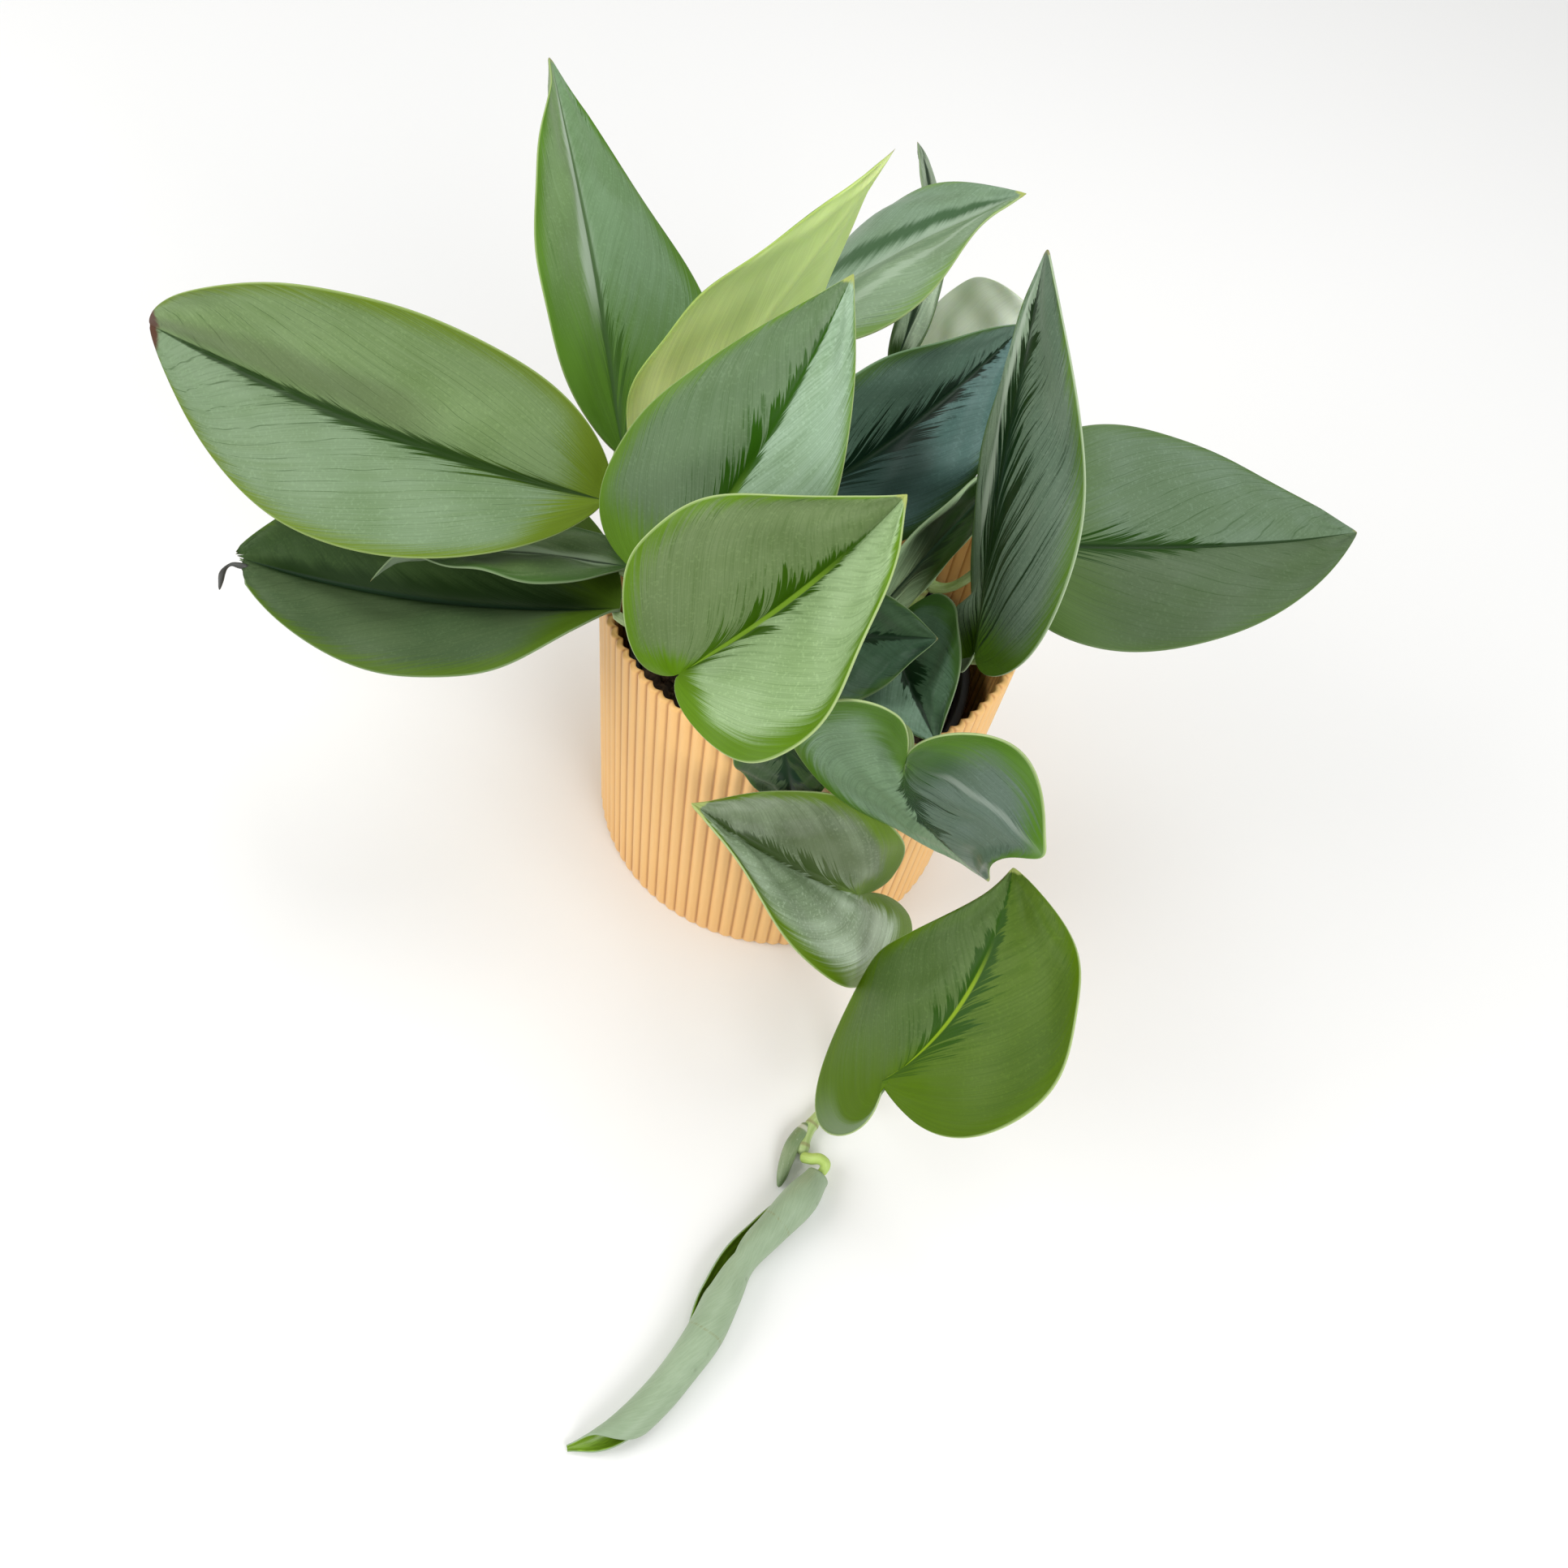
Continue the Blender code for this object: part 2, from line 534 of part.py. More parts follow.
def add_rolled_leaf(name, roll, collection):
    """A sheet wound round a curved axis: distance from the axis grows by the pitch each turn."""
    rows, columns = roll["rows"], roll["columns"]
    keys = np.arange(len(roll["radius"]))
    place = np.linspace(0, keys[-1], rows)
    radius, opening, turn = (np.interp(place, keys, roll[key])
                             for key in ("radius", "opening", "turn"))
    flat = smooth_route([(x, y, 0) for x, y in roll["route"]], rows)
    axis = flat + np.outer(radius + roll["lift"], [0, 0, 1])
    onward = unit(np.gradient(axis, axis=0))
    up = unit(np.array([0, 0, 1]) - onward[:, 2:] * onward)
    side = np.cross(onward, up)
    v = np.linspace(-1, 1, columns)
    angle = np.radians(opening[:, None] + 180 + turn[:, None] / 2 * v)
    pitch = roll["pitch"] * np.minimum(1, radius / roll["full_pitch"])
    growth = (pitch * turn / 720)[:, None] * v
    reach = radius[:, None] + growth
    points = (axis[:, None] + (reach * np.cos(angle))[..., None] * up[:, None]
              - (reach * np.sin(angle))[..., None] * side[:, None])
    mesh = bpy.data.meshes.new(name)
    bm = bmesh.new()
    corners = [[bm.verts.new(point * MM) for point in row] for row in points]
    for near, far in zip(corners, corners[1:]):
        for i in range(columns - 1):
            bm.faces.new((near[i], near[i + 1], far[i + 1], far[i]))
    bm.to_mesh(mesh)
    bm.free()
    item = add_object(name, mesh, "rolled leaf", collection)
    solidify = item.modifiers.new("thickness", "SOLIDIFY")
    solidify.thickness = roll["thickness"] * MM
    solidify.offset = 0
    item.data.shade_smooth()


def add_shaped_tube(name, shape, colour_name, collection):
    """A tube whose radius changes from point to point of its route."""
    count = 3 * len(shape["radius"])
    place = np.linspace(0, len(shape["radius"]) - 1, count)
    radii = np.interp(place, np.arange(len(shape["radius"])), shape["radius"])
    add_tube(name, smooth_route(shape["route"], count), radii, colour_name, collection)


def main():
    clear_scene()
    collection = make_collection("potted_scindapsus")
    add_cachepot(collection)
    add_nursery_pot(collection)
    add_soil(collection)
    for name, stem in STEMS.items():
        count = 4 * len(stem["route"])
        route = smooth_route(stem["route"], count)
        radii = stem["radius"] * np.linspace(1, STEM_TAPER, count)
        add_tube(name, route, radii, "stem green", collection)
    for name, own in LEAVES.items():
        add_leaf(name, own, collection)
    add_rolled_leaf("leaf_rolled_new", ROLLED_LEAF, collection)
    add_shaped_tube("petiole_rolled_new", ROLLED_PETIOLE, "stem green", collection)
    add_shaped_tube("vine_sheath", VINE_SHEATH, "rolled leaf", collection)


main()
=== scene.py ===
import math

import bpy
import numpy as np
from mathutils import Matrix


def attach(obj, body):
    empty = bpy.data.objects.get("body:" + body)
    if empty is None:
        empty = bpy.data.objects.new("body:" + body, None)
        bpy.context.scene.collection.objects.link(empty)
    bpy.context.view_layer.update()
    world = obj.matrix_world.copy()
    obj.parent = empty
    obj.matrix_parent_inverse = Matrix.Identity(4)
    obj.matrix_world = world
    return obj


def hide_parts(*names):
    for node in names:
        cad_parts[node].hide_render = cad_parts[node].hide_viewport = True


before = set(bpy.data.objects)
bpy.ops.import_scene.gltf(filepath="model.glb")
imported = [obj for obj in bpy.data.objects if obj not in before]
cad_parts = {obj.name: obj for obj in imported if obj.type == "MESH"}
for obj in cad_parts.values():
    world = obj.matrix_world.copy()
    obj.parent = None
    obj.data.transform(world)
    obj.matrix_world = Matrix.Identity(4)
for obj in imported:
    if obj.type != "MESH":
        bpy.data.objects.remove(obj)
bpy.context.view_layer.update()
mm = 0.001

bladeGrid = {
    "rows": 110, "columns": 64, "rimSteps": 5, "thickness": 0.9,
    "grooveDepth": 0.45, "grooveWidth": 1.0, "valleyWidth": 5.0,
    "keelHeight": 1.0, "keelWidth": 1.5, "veinSpacing": 9.0, "veinHeight": 0.16,
    "bulge": 0.55, "lobeReach": 3.5, "veinBend": 0.6, "steps": 24,
    "lipFade": 0.08, "tailFrom": 0.88, "tailLong": 0.12, "waves": 2.6,
}

# what an entry of leaves may change, pairs for the left and the right half: basal lobe, powers of the
# outline at the base and the tip, bows out of the face and sideways, fold, cup, twist and hook in
# degrees; petiole is the stalk's radius, rise its angle under the blade, runOn its reach into the keel
leafShape = {
    "lobe": (0.1, 0.1), "round": 0.55, "taper": 0.85, "drip": 0.04, "arch": 0.05, "sweep": 0.0,
    "fold": (10, 10), "cup": (0, 0), "lean": 0.0, "twist": 0, "hook": (0, 0),
    "acumen": (0, 0), "petiole": 1.5, "rise": 45, "runOn": 0.0, "slant": 0.8, "wave": 0.4, "valley": 0.5,
    "keel": 1.0, "tail": (0.0, 0.0),
    "swells": (), "lips": (), "torn": 0, "wisp": (), "look": {},
}

# colours of a blade: tones, left and right half; wash turns a tone into its darker streaks; green
# is for the margin and the foot; dark is the feathered band along the midrib; margin and band are
# shares of the half width, left and right; foot is the share of the length that is green; stripes
# run from one (t, v) to another, with a width, colour and strength
# the two tones of a blade are partly its own colour and partly painted light and shade: the half that was
# better lit is lighter
commonLook = {
    "through": 0.0, "bandEnd": 1.3, "footBand": 0.4, "stripes": (), "gloss": 0.15, "ribWide": 1.3,
    "keelPale": 0.5, "ribEnd": 1.0, "rough": 0.42, "veins": 0.0, "foot": 0.10, "tipFrom": 0.985,
    "under": (0.24, 0.32, 0.17),
}
leafLooks = {
    "mid": {
        "tones": ((0.18, 0.28, 0.14), (0.18, 0.28, 0.14)), "wash": (0.82, 0.86, 0.74),
        "green": (0.13, 0.24, 0.02), "dark": (0.050, 0.115, 0.015), "rib": (0.025, 0.065, 0.008),
        "edge": (0.36, 0.47, 0.18), "tip": (0.30, 0.30, 0.12), "margin": (0.08, 0.08), "band": (0.07, 0.06),
        "strokes": 0.3, "veins": 0.35, "fibre": 0.35,
    },
    "silver": {
        "tones": ((0.20, 0.29, 0.18), (0.25, 0.36, 0.22)), "wash": (0.80, 0.84, 0.74),
        "green": (0.11, 0.23, 0.012), "dark": (0.045, 0.115, 0.010), "rib": (0.17, 0.32, 0.03),
        "ribEnd": 0.55, "edge": (0.46, 0.57, 0.26), "tip": (0.36, 0.42, 0.12), "tipFrom": 0.975,
        "margin": (0.08, 0.10), "band": (0.15, 0.10), "strokes": 0.55, "fibre": 0.45, "rough": 0.40,
    },
    "dark": {
        "tones": ((0.070, 0.125, 0.085), (0.080, 0.140, 0.100)), "wash": (0.75, 0.82, 0.78),
        "green": (0.045, 0.105, 0.018), "dark": (0.008, 0.028, 0.012), "rib": (0.010, 0.030, 0.012),
        "under": (0.18, 0.24, 0.15), "edge": (0.26, 0.35, 0.19), "tip": (0.25, 0.24, 0.10),
        "margin": (0.05, 0.05), "foot": 0.06, "band": (0.20, 0.16), "strokes": 0.7, "fibre": 0.40,
    },
}

leaves = {
    "left_large": {
        "base": (-67, -17, 164), "tip": (-219, 17, 163), "roll": -55, "width": 79, "lobe": (0.0, 0.05),
        "round": 0.7, "taper": 0.65, "sweep": -0.02, "fold": (15, 15), "cup": (10, 10), "lean": 0.05,
        "twist": -45, "petiole": 1.9, "rise": 30, "runOn": 1.0, "stem": "stem_left", "height": 130,
        "kind": "mid", "valley": 1.4,
        "look": {
            "tones": ((0.190, 0.280, 0.155), (0.185, 0.275, 0.115)), "green": (0.115, 0.185, 0.008),
            "foot": 0.08, "margin": (0.02, 0.03), "dark": (0.018, 0.056, 0.003), "band": (0.07, 0.055),
            # the wide dark midrib line is partly the midrib's own colour and partly painted shade in the
            # valley along it
            "rib": (0.012, 0.040, 0.002), "ribWide": 2.0, "veins": 0.5, "tip": (0.085, 0.035, 0.018),
            "tipFrom": 0.972, "stripes": (((0.3, 0.20), (1.1, 0.30), 0.26, (0.100, 0.130, 0.062), 0.5),),
        },
    },
    "left_low": {
        "base": (-57, -35, 137), "tip": (-182, -33, 121), "roll": 5, "width": 84, "lobe": (0.0, 0.0),
        "round": 0.5, "taper": 0.7, "arch": -0.04, "sweep": -0.02, "fold": (30, 30), "cup": (-60, 0),
        "lean": 0.15, "twist": -35, "runOn": 1.0, "stem": "stem_left", "height": 104, "kind": "dark",
        "torn": 0.03,
        "wisp": [
            (0, 0, 0), (-2.5, -0.4, 0.2), (-5.0, -0.6, 0.3), (-6.4, -2.0, 0), (-6.9, -4.4, -0.4),
            (-6.5, -7.0, -1.0), (-6.2, -9.6, -2.0),
        ],
        "look": {
            "tones": ((0.070, 0.112, 0.045), (0.045, 0.085, 0.022)), "green": (0.062, 0.120, 0.006),
            "foot": 0.13, "dark": (0.006, 0.024, 0.001), "band": (0.04, 0.03), "veins": 0.2, "rough": 0.5,
            "strokes": 0.3, "fibre": 0.3, "footBand": 0.1,
            "stripes": (((0.0, 0.03), (1.0, 0.03), 0.20, (0.007, 0.026, 0.001), 0.9),),
        },
    },
    "left_small": {
        "base": (-58, -24, 144), "tip": (-136, -36, 135), "roll": 30, "width": 34, "acumen": (0.4, 0.4),
        "lobe": (0.0, 0.05), "taper": 0.95, "sweep": 0.02, "fold": (20, 15), "cup": (-50, 5), "lean": -0.15,
        "twist": 15, "petiole": 1.2, "rise": 20, "runOn": 0.15, "stem": "stem_left", "height": 126,
        "kind": "dark", "tail": (-5.0, -4.0),
        "look": {
            "tones": ((0.100, 0.165, 0.055), (0.150, 0.225, 0.090)), "dark": (0.02, 0.05, 0.01),
            "band": (0.0, 0.0), "stripes": (((0.0, 0.0), (0.75, 0.0), 0.30, (0.42, 0.54, 0.36), 0.85),),
        },
    },
    "tall_left": {
        "base": (-68, 13, 153), "tip": (-121, 130, 206), "roll": 40, "width": 72, "acumen": (0.1, 0.25),
        "lobe": (0.0, 0.1), "round": 0.65, "taper": 0.8, "arch": 0.02, "fold": (10, 5), "cup": (-20, 5),
        "lean": 0.3, "twist": 35, "petiole": 1.7, "runOn": 0.9, "stem": "stem_left", "height": 128,
        "kind": "mid",
        "look": {
            "tones": ((0.19, 0.30, 0.13), (0.208, 0.340, 0.178)), "green": (0.085, 0.20, 0.014),
            "foot": 0.36, "dark": (0.040, 0.115, 0.010), "rib": (0.055, 0.125, 0.028), "band": (0.09, 0.12),
            "bandEnd": 0.35, "strokes": 0.9, "veins": 0.15,
            "stripes": (((0.28, -0.13), (1.0, -0.10), 0.20, (0.42, 0.52, 0.40), 0.8),),
        },
    },
    "pale_young": {
        "base": (-56, 6, 153), "tip": (-3, 45, 258), "roll": -95, "width": 48, "acumen": (0.6, 0.6),
        "lobe": (0.1, 0.0), "taper": 1.05, "arch": 0.02, "fold": (15, 10), "cup": (-20, 5), "twist": 20,
        "runOn": 0.7, "stem": "stem_left", "height": 134, "kind": "mid", "keel": 0.1, "valley": 0.1,
        "lips": ((1, 0.88, 1.0, 0.1, 0.9, -60),),
        "look": {
            # the under colours are partly the young blade's own pale green and partly painted light, lifted
            # most at the foot to stand in for light shining through it
            "under": (0.56, 0.69, 0.29), "underBacklitFoot": (0.86, 1.0, 0.42),
            "tones": ((0.22, 0.36, 0.09), (0.22, 0.36, 0.09)), "edge": (0.45, 0.56, 0.18), "veins": 0.1,
            "through": 0.7, "keelPale": 0.1,
        },
    },
    "centre": {
        "base": (-43, -39, 158), "tip": (-7, 4, 247), "roll": 20, "width": 66, "lobe": (0.15, 0.1),
        "taper": 0.95, "arch": 0.1, "sweep": 0.05, "fold": (10, 15), "cup": (-25, -20), "lean": -0.1,
        "twist": 5, "petiole": 1.8, "runOn": 0.7, "stem": "stem_left", "height": 137, "kind": "silver",
        "look": {
            "tones": ((0.140, 0.215, 0.112), (0.31, 0.44, 0.305)), "green": (0.095, 0.20, 0.012),
            "foot": 0.17, "dark": (0.022, 0.085, 0.002), "band": (0.14, 0.04), "margin": (0.04, 0.03),
            "ribEnd": 0.35,
        },
    },
    "front_heart": {
        "base": (-32, -75, 165), "tip": (18, -54, 230), "roll": 50, "width": 87, "acumen": (0.25, 0.1),
        "lobe": (0.15, 0.15), "round": 0.9, "taper": 1.05, "arch": -0.04, "sweep": 0.04, "fold": (30, 30),
        "cup": (-10, 45), "lean": -0.05, "twist": -30, "petiole": 2.0, "runOn": 1.1, "stem": "stem_left",
        "height": 99, "kind": "silver", "wave": 0.9,
        "look": {
            "tones": ((0.162, 0.230, 0.096), (0.345, 0.485, 0.245)), "green": (0.095, 0.20, 0.004),
            "foot": 0.07, "dark": (0.030, 0.088, 0.0), "rib": (0.20, 0.36, 0.02), "band": (0.14, 0.055),
            "margin": (0.03, 0.10), "ribEnd": 0.6, "ribWide": 0.8, "bandEnd": 0.72,
        },
    },
    "back": {
        "base": (-35, 57, 167), "tip": (40, 103, 212), "roll": -20, "width": 86, "acumen": (0.15, 0.35),
        "lobe": (0.05, 0.0), "round": 0.6, "taper": 1.0, "fold": (15, 25), "cup": (-60, -60), "lean": -0.15,
        "twist": 25, "runOn": 0.8, "stem": "stem_centre", "height": 132, "kind": "silver",
        "look": {
            "tones": ((0.205, 0.30, 0.20), (0.235, 0.33, 0.205)), "dark": (0.040, 0.095, 0.035),
            "green": (0.15, 0.26, 0.06), "band": (0.0, 0.0), "ribEnd": 0.0, "margin": (0.02, 0.03),
            "stripes": (
                ((0.0, -0.26), (1.0, -0.10), 0.12, (0.040, 0.095, 0.035), 0.9),
                ((0.0, 0.05), (1.0, 0.0), 0.12, (0.40, 0.50, 0.38), 0.6),
                ((0.0, 0.40), (1.0, 0.25), 0.09, (0.13, 0.21, 0.11), 0.7),
                ((0.0, 0.62), (1.0, 0.45), 0.08, (0.37, 0.47, 0.34), 0.6),
            ),
        },
    },
    "back_curled": {
        "base": (11, 76, 160), "tip": (3, 165, 180), "roll": 30, "width": 14, "arch": 0.1, "sweep": 0.03,
        "petiole": 1.2, "runOn": 0.45, "stem": "stem_back", "height": 124, "kind": "dark",
        "look": {
            # the tones are lifted as painted light where the blade lies in shade near its base; the broad
            # stripe makes it darker towards the tip
            "tones": ((0.48, 0.60, 0.42), (0.64, 0.76, 0.57)), "dark": (0.12, 0.18, 0.12),
            "stripes": (((0.55, 0.0), (1.2, 0.0), 2.0, (0.17, 0.22, 0.15), 0.8),),
        },
    },
    "back_right": {
        "base": (14, 77, 149), "tip": (61, 64, 190), "roll": -130, "width": 61, "round": 0.6, "arch": 0.0,
        "sweep": -0.03, "cup": (-5, 10), "lean": 0.1, "twist": 30, "rise": 10, "runOn": 0.3,
        "stem": "stem_back", "height": 110, "kind": "silver",
        "look": {
            # the pale under colour is partly the blade's own and partly painted light, lifted to stand in for
            # light shining through it
            "under": (0.86, 0.95, 0.82), "through": 0.35,
        },
    },
    "dark_centre": {
        "base": (-6, 10, 158), "tip": (46, 56, 200), "roll": 60, "width": 59, "lobe": (0.15, 0.1),
        "round": 0.5, "arch": 0.07, "fold": (15, 10), "cup": (-5, -5), "twist": 15, "runOn": 0.2,
        "stem": "stem_centre", "height": 140, "kind": "dark",
        "look": {
            "tones": ((0.096, 0.162, 0.118), (0.108, 0.196, 0.178)), "dark": (0.002, 0.013, 0.004),
            "band": (0.20, 0.13), "edge": (0.17, 0.27, 0.16), "footBand": 0.0,
            "stripes": (((-0.1, 0.35), (0.55, 0.25), 0.55, (0.008, 0.026, 0.016), 0.75),),
        },
    },
    "tall_right": {
        "base": (50, -40, 159), "tip": (42, 20, 255), "roll": -80, "width": 68, "acumen": (0.2, 0),
        "lobe": (0.2, 0.05), "taper": 0.8, "arch": 0.03, "sweep": 0.03, "fold": (-10, 10), "cup": (10, -50),
        "lean": 0.25, "twist": 15, "petiole": 1.7, "runOn": 0.75, "stem": "stem_right", "height": 120,
        "kind": "dark", "lips": ((-1, 0.42, 0.85, -0.1, 0.25, 150),),
        "look": {
            # the paler left half and the pale stripe on it are partly the blade's own colour and partly
            # painted sheen
            "tones": ((0.29, 0.39, 0.27), (0.132, 0.190, 0.128)), "green": (0.060, 0.135, 0.004),
            "foot": 0.13, "dark": (0.004, 0.022, 0.003), "band": (0.46, 0.40), "bandEnd": 0.88,
            "edge": (0.46, 0.56, 0.38), "margin": (0.02, 0.02), "footBand": 0.1,
            "stripes": (((0.25, -0.55), (1.0, -0.30), 0.15, (0.46, 0.55, 0.44), 0.85),),
        },
    },
    "right_large": {
        "base": (58, 7, 157), "tip": (170, 47, 153), "roll": 20, "width": 73, "lobe": (0.1, 0.05),
        "round": 0.5, "taper": 0.9, "arch": 0.07, "sweep": 0.05, "fold": (5, 15), "cup": (0, -20),
        "lean": -0.05, "twist": -20, "petiole": 1.8, "runOn": 1.0, "stem": "stem_side", "height": 116,
        "kind": "mid",
        "look": {
            "tones": ((0.150, 0.222, 0.142), (0.100, 0.152, 0.078)), "green": (0.075, 0.14, 0.030),
            "foot": 0.22, "dark": (0.014, 0.055, 0.001), "bandEnd": 0.45, "band": (0.12, 0.10),
            "rib": (0.006, 0.028, 0.001), "ribWide": 1.0, "margin": (0.0, 0.0), "edge": (0.20, 0.28, 0.14),
            "footBand": 0.0, "veins": 0.4,
        },
    },
    "dark_low": {
        "base": (19, -23, 142), "tip": (56, 34, 168), "roll": 80, "width": 42, "arch": -0.01,
        "sweep": -0.01, "fold": (10, 0), "cup": (-5, -25), "petiole": 1.3, "runOn": 0.4,
        "stem": "stem_small", "height": 114, "kind": "dark",
        "look": {
            "tones": ((0.012, 0.032, 0.004), (0.016, 0.040, 0.005)), "dark": (0.004, 0.015, 0.001),
            "rough": 0.6, "green": (0.34, 0.48, 0.27), "foot": 0.30, "gloss": 0.05,
        },
    },
    "small_right": {
        "base": (5, -38, 144), "tip": (38, -43, 164), "roll": 35, "width": 37, "round": 0.5, "taper": 0.9,
        "arch": 0.08, "sweep": -0.02, "cup": (0, -5), "lean": 0.1, "petiole": 1.2, "stem": "stem_small",
        "height": 104, "kind": "dark",
        "look": {
            "tones": ((0.053, 0.104, 0.050), (0.054, 0.110, 0.062)), "dark": (0.004, 0.022, 0.006),
            "band": (0.13, 0.10), "gloss": 0.2, "bandEnd": 0.7,
        },
    },
    "small_front": {
        "base": (25, -25, 144), "tip": (44, -66, 145), "roll": 30, "width": 41, "round": 0.5, "arch": 0.08,
        "sweep": 0.01, "fold": (15, 15), "cup": (5, 0), "lean": -0.1, "petiole": 1.2, "runOn": 0.1,
        "stem": "stem_small", "height": 110, "kind": "dark",
        "look": {
            "tones": ((0.095, 0.175, 0.100), (0.23, 0.37, 0.26)), "dark": (0.008, 0.035, 0.010),
            "band": (0.20, 0.13), "gloss": 0.25, "bandEnd": 0.72, "green": (0.035, 0.10, 0.012),
            "margin": (0.12, 0.02),
        },
    },
    "rim_heart": {
        "base": (34, -90, 166), "tip": (69, -90, 115), "roll": 115, "width": 77, "acumen": (0.3, 0),
        "lobe": (0.45, 0.5), "round": 0.9, "arch": 0.02, "sweep": 0.17, "fold": (-10, -10), "cup": (25, 20),
        "lean": -0.1, "twist": 25, "hook": (15, 0), "petiole": 1.4, "stem": "stem_vine", "height": 131,
        "kind": "silver", "swells": ((-1, 0.62, 0.10, 3.5),),
        "look": {
            "tones": ((0.108, 0.165, 0.125), (0.228, 0.345, 0.220)), "green": (0.060, 0.155, 0.004),
            "foot": 0.14, "dark": (0.007, 0.032, 0.011), "ribEnd": 0.0, "band": (0.18, 0.05),
            "margin": (0.06, 0.08), "bandEnd": 0.7, "gloss": 0.3, "rough": 0.34,
            "stripes": (
                ((-0.15, -0.40), (0.32, -0.35), 0.38, (0.030, 0.080, 0.026), 0.7),
                # a thin pale line from near the midrib out to the corner of the left half: painted highlight
                # along a ridge
                ((0.14, -0.25), (0.62, -1.0), 0.06, (0.40, 0.46, 0.40), 0.35),
            ),
        },
    },
    "rim_left_heart": {
        "base": (33, -82, 78), "tip": (-23, -89, 122), "roll": -11, "width": 58, "acumen": (0.2, 0.3),
        "lobe": (0.6, 0.25), "round": 0.8, "taper": 0.95, "sweep": -0.05, "fold": (30, 29),
        "cup": (-45, 20), "lean": -0.05, "twist": 30, "hook": (25, 0), "petiole": 1.3, "stem": "stem_vine",
        "height": 62, "kind": "silver", "valley": 1.3, "wave": 0.9,
        "look": {
            "tones": ((0.47, 0.58, 0.42), (0.22, 0.28, 0.17)), "green": (0.095, 0.175, 0.004), "foot": 0.07,
            "wash": (0.50, 0.55, 0.44), "margin": (0.10, 0.12), "dark": (0.045, 0.080, 0.018),
            "band": (0.03, 0.13), "ribEnd": 0.0, "strokes": 0.35, "tip": (0.38, 0.46, 0.14),
            "tipFrom": 0.95, "gloss": 0.3,
            "stripes": (
                # a broad dark stripe across the middle of the right half: painted shade in the deep dent
                # there
                ((0.12, 0.30), (0.70, 0.40), 0.30, (0.085, 0.120, 0.045), 0.6),
                ((-0.15, 0.6), (0.2, 0.6), 0.5, (0.070, 0.135, 0.006), 0.6),
            ),
        },
    },
    "vine_heart": {
        "base": (51, -139, 68), "tip": (75, -86, 119), "roll": -11, "width": 73, "acumen": (0.5, 0.1),
        "lobe": (0.4, 0.05), "round": 0.9, "arch": 0.09, "sweep": 0.13, "fold": (-14, 0), "cup": (0, 35),
        "lean": 0.1, "twist": 10, "hook": (70, 0), "stem": "stem_vine", "height": 10, "kind": "silver",
        "wave": 1.0,
        "look": {
            "tones": ((0.096, 0.158, 0.044), (0.085, 0.150, 0.016)), "green": (0.068, 0.135, 0.0),
            "foot": 0.24, "dark": (0.020, 0.070, 0.0), "rib": (0.24, 0.37, 0.01), "ribEnd": 0.6,
            "ribWide": 0.9, "band": (0.13, 0.13), "margin": (0.05, 0.05), "strokes": 0.4, "gloss": 0.12,
            # a pale stripe along the edge of the left lobe: painted sheen
            "stripes": (((-0.15, -0.85), (0.22, -0.92), 0.16, (0.185, 0.255, 0.150), 0.75),),
        },
    },
    "under_rim": {
        "base": (0, -73, 137), "tip": (8, -72.3, 104), "roll": 87, "width": 32, "round": 0.5, "arch": 0.0,
        "fold": (-2, -4), "cup": (-10, -10), "petiole": 1.2, "stem": "stem_vine", "height": 98,
        "kind": "dark",
        "look": {
            "tones": ((0.045, 0.080, 0.025), (0.080, 0.120, 0.060)),
        },
    },
}

stems = {
    "stem_left": {
        "route": [(-22, -4, 84.8), (-23.5, -4.5, 96), (-34, -8, 114), (-41, -11, 128), (-45, -14, 139)],
        "radius": 3.4,
    },
    "stem_centre": {
        "route": [(4, 12, 84.6), (3, 12, 100), (-2, 13, 124), (-8, 15, 142)],
        "radius": 3.0,
    },
    "stem_right": {
        "route": [(40, 3, 84.8), (40, 2.4, 96), (38, -10, 108), (37, -20, 120), (38, -26, 128)],
        "radius": 2.8,
    },
    "stem_side": {
        "route": [(33, 21, 84.6), (33, 21, 96), (35, 21, 110), (37, 21, 119)],
        "radius": 2.6,
    },
    "stem_back": {
        "route": [(2, 32, 84.6), (2, 34, 98), (3, 40, 118), (3, 46, 130)],
        "radius": 2.8,
    },
    "stem_small": {
        "route": [(14, -18, 84.6), (14, -19, 98), (15, -21, 116)],
        "radius": 2.2,
    },
    "stem_vine": {
        "route": [(24, -42, 84.8), (25, -44, 98), (27, -50, 118), (29.5, -56.5, 129), (32, -62.5, 132),
                  (34, -67, 129), (34.5, -66.5, 118), (35, -65.5, 100), (35, -65.5, 80), (36, -67, 60),
                  (41, -76, 42), (47, -92, 27), (49, -108, 13), (45, -120, 5.2), (38, -128, 3.2),
                  (35.2, -135, 3.0), (34.6, -142.3, 3.0)],
        "radius": 2.4,
    },
}
stemLook = {
    "taper": 0.85, "steps": 80, "sides": 28, "nodeSwell": 0.16, "nodeLength": 2.2, "internode": 17.0,
    "green": (0.300, 0.430, 0.120), "pale": (0.470, 0.580, 0.270), "ring": (0.240, 0.200, 0.090),
    "planted": 3.0, "plantedOver": 6.0, "clear": 0.05, "thinnest": 0.5, "rounded": 0.012,
}
wispLook = {
    "points": 60, "sides": 12, "radius": 0.75, "uneven": 0.25, "rounded": 0.1, "starts": (0.95, -0.3),
    "green": (0.018, 0.016, 0.014), "pale": (0.060, 0.062, 0.055), "ring": (0.090, 0.070, 0.040),
}
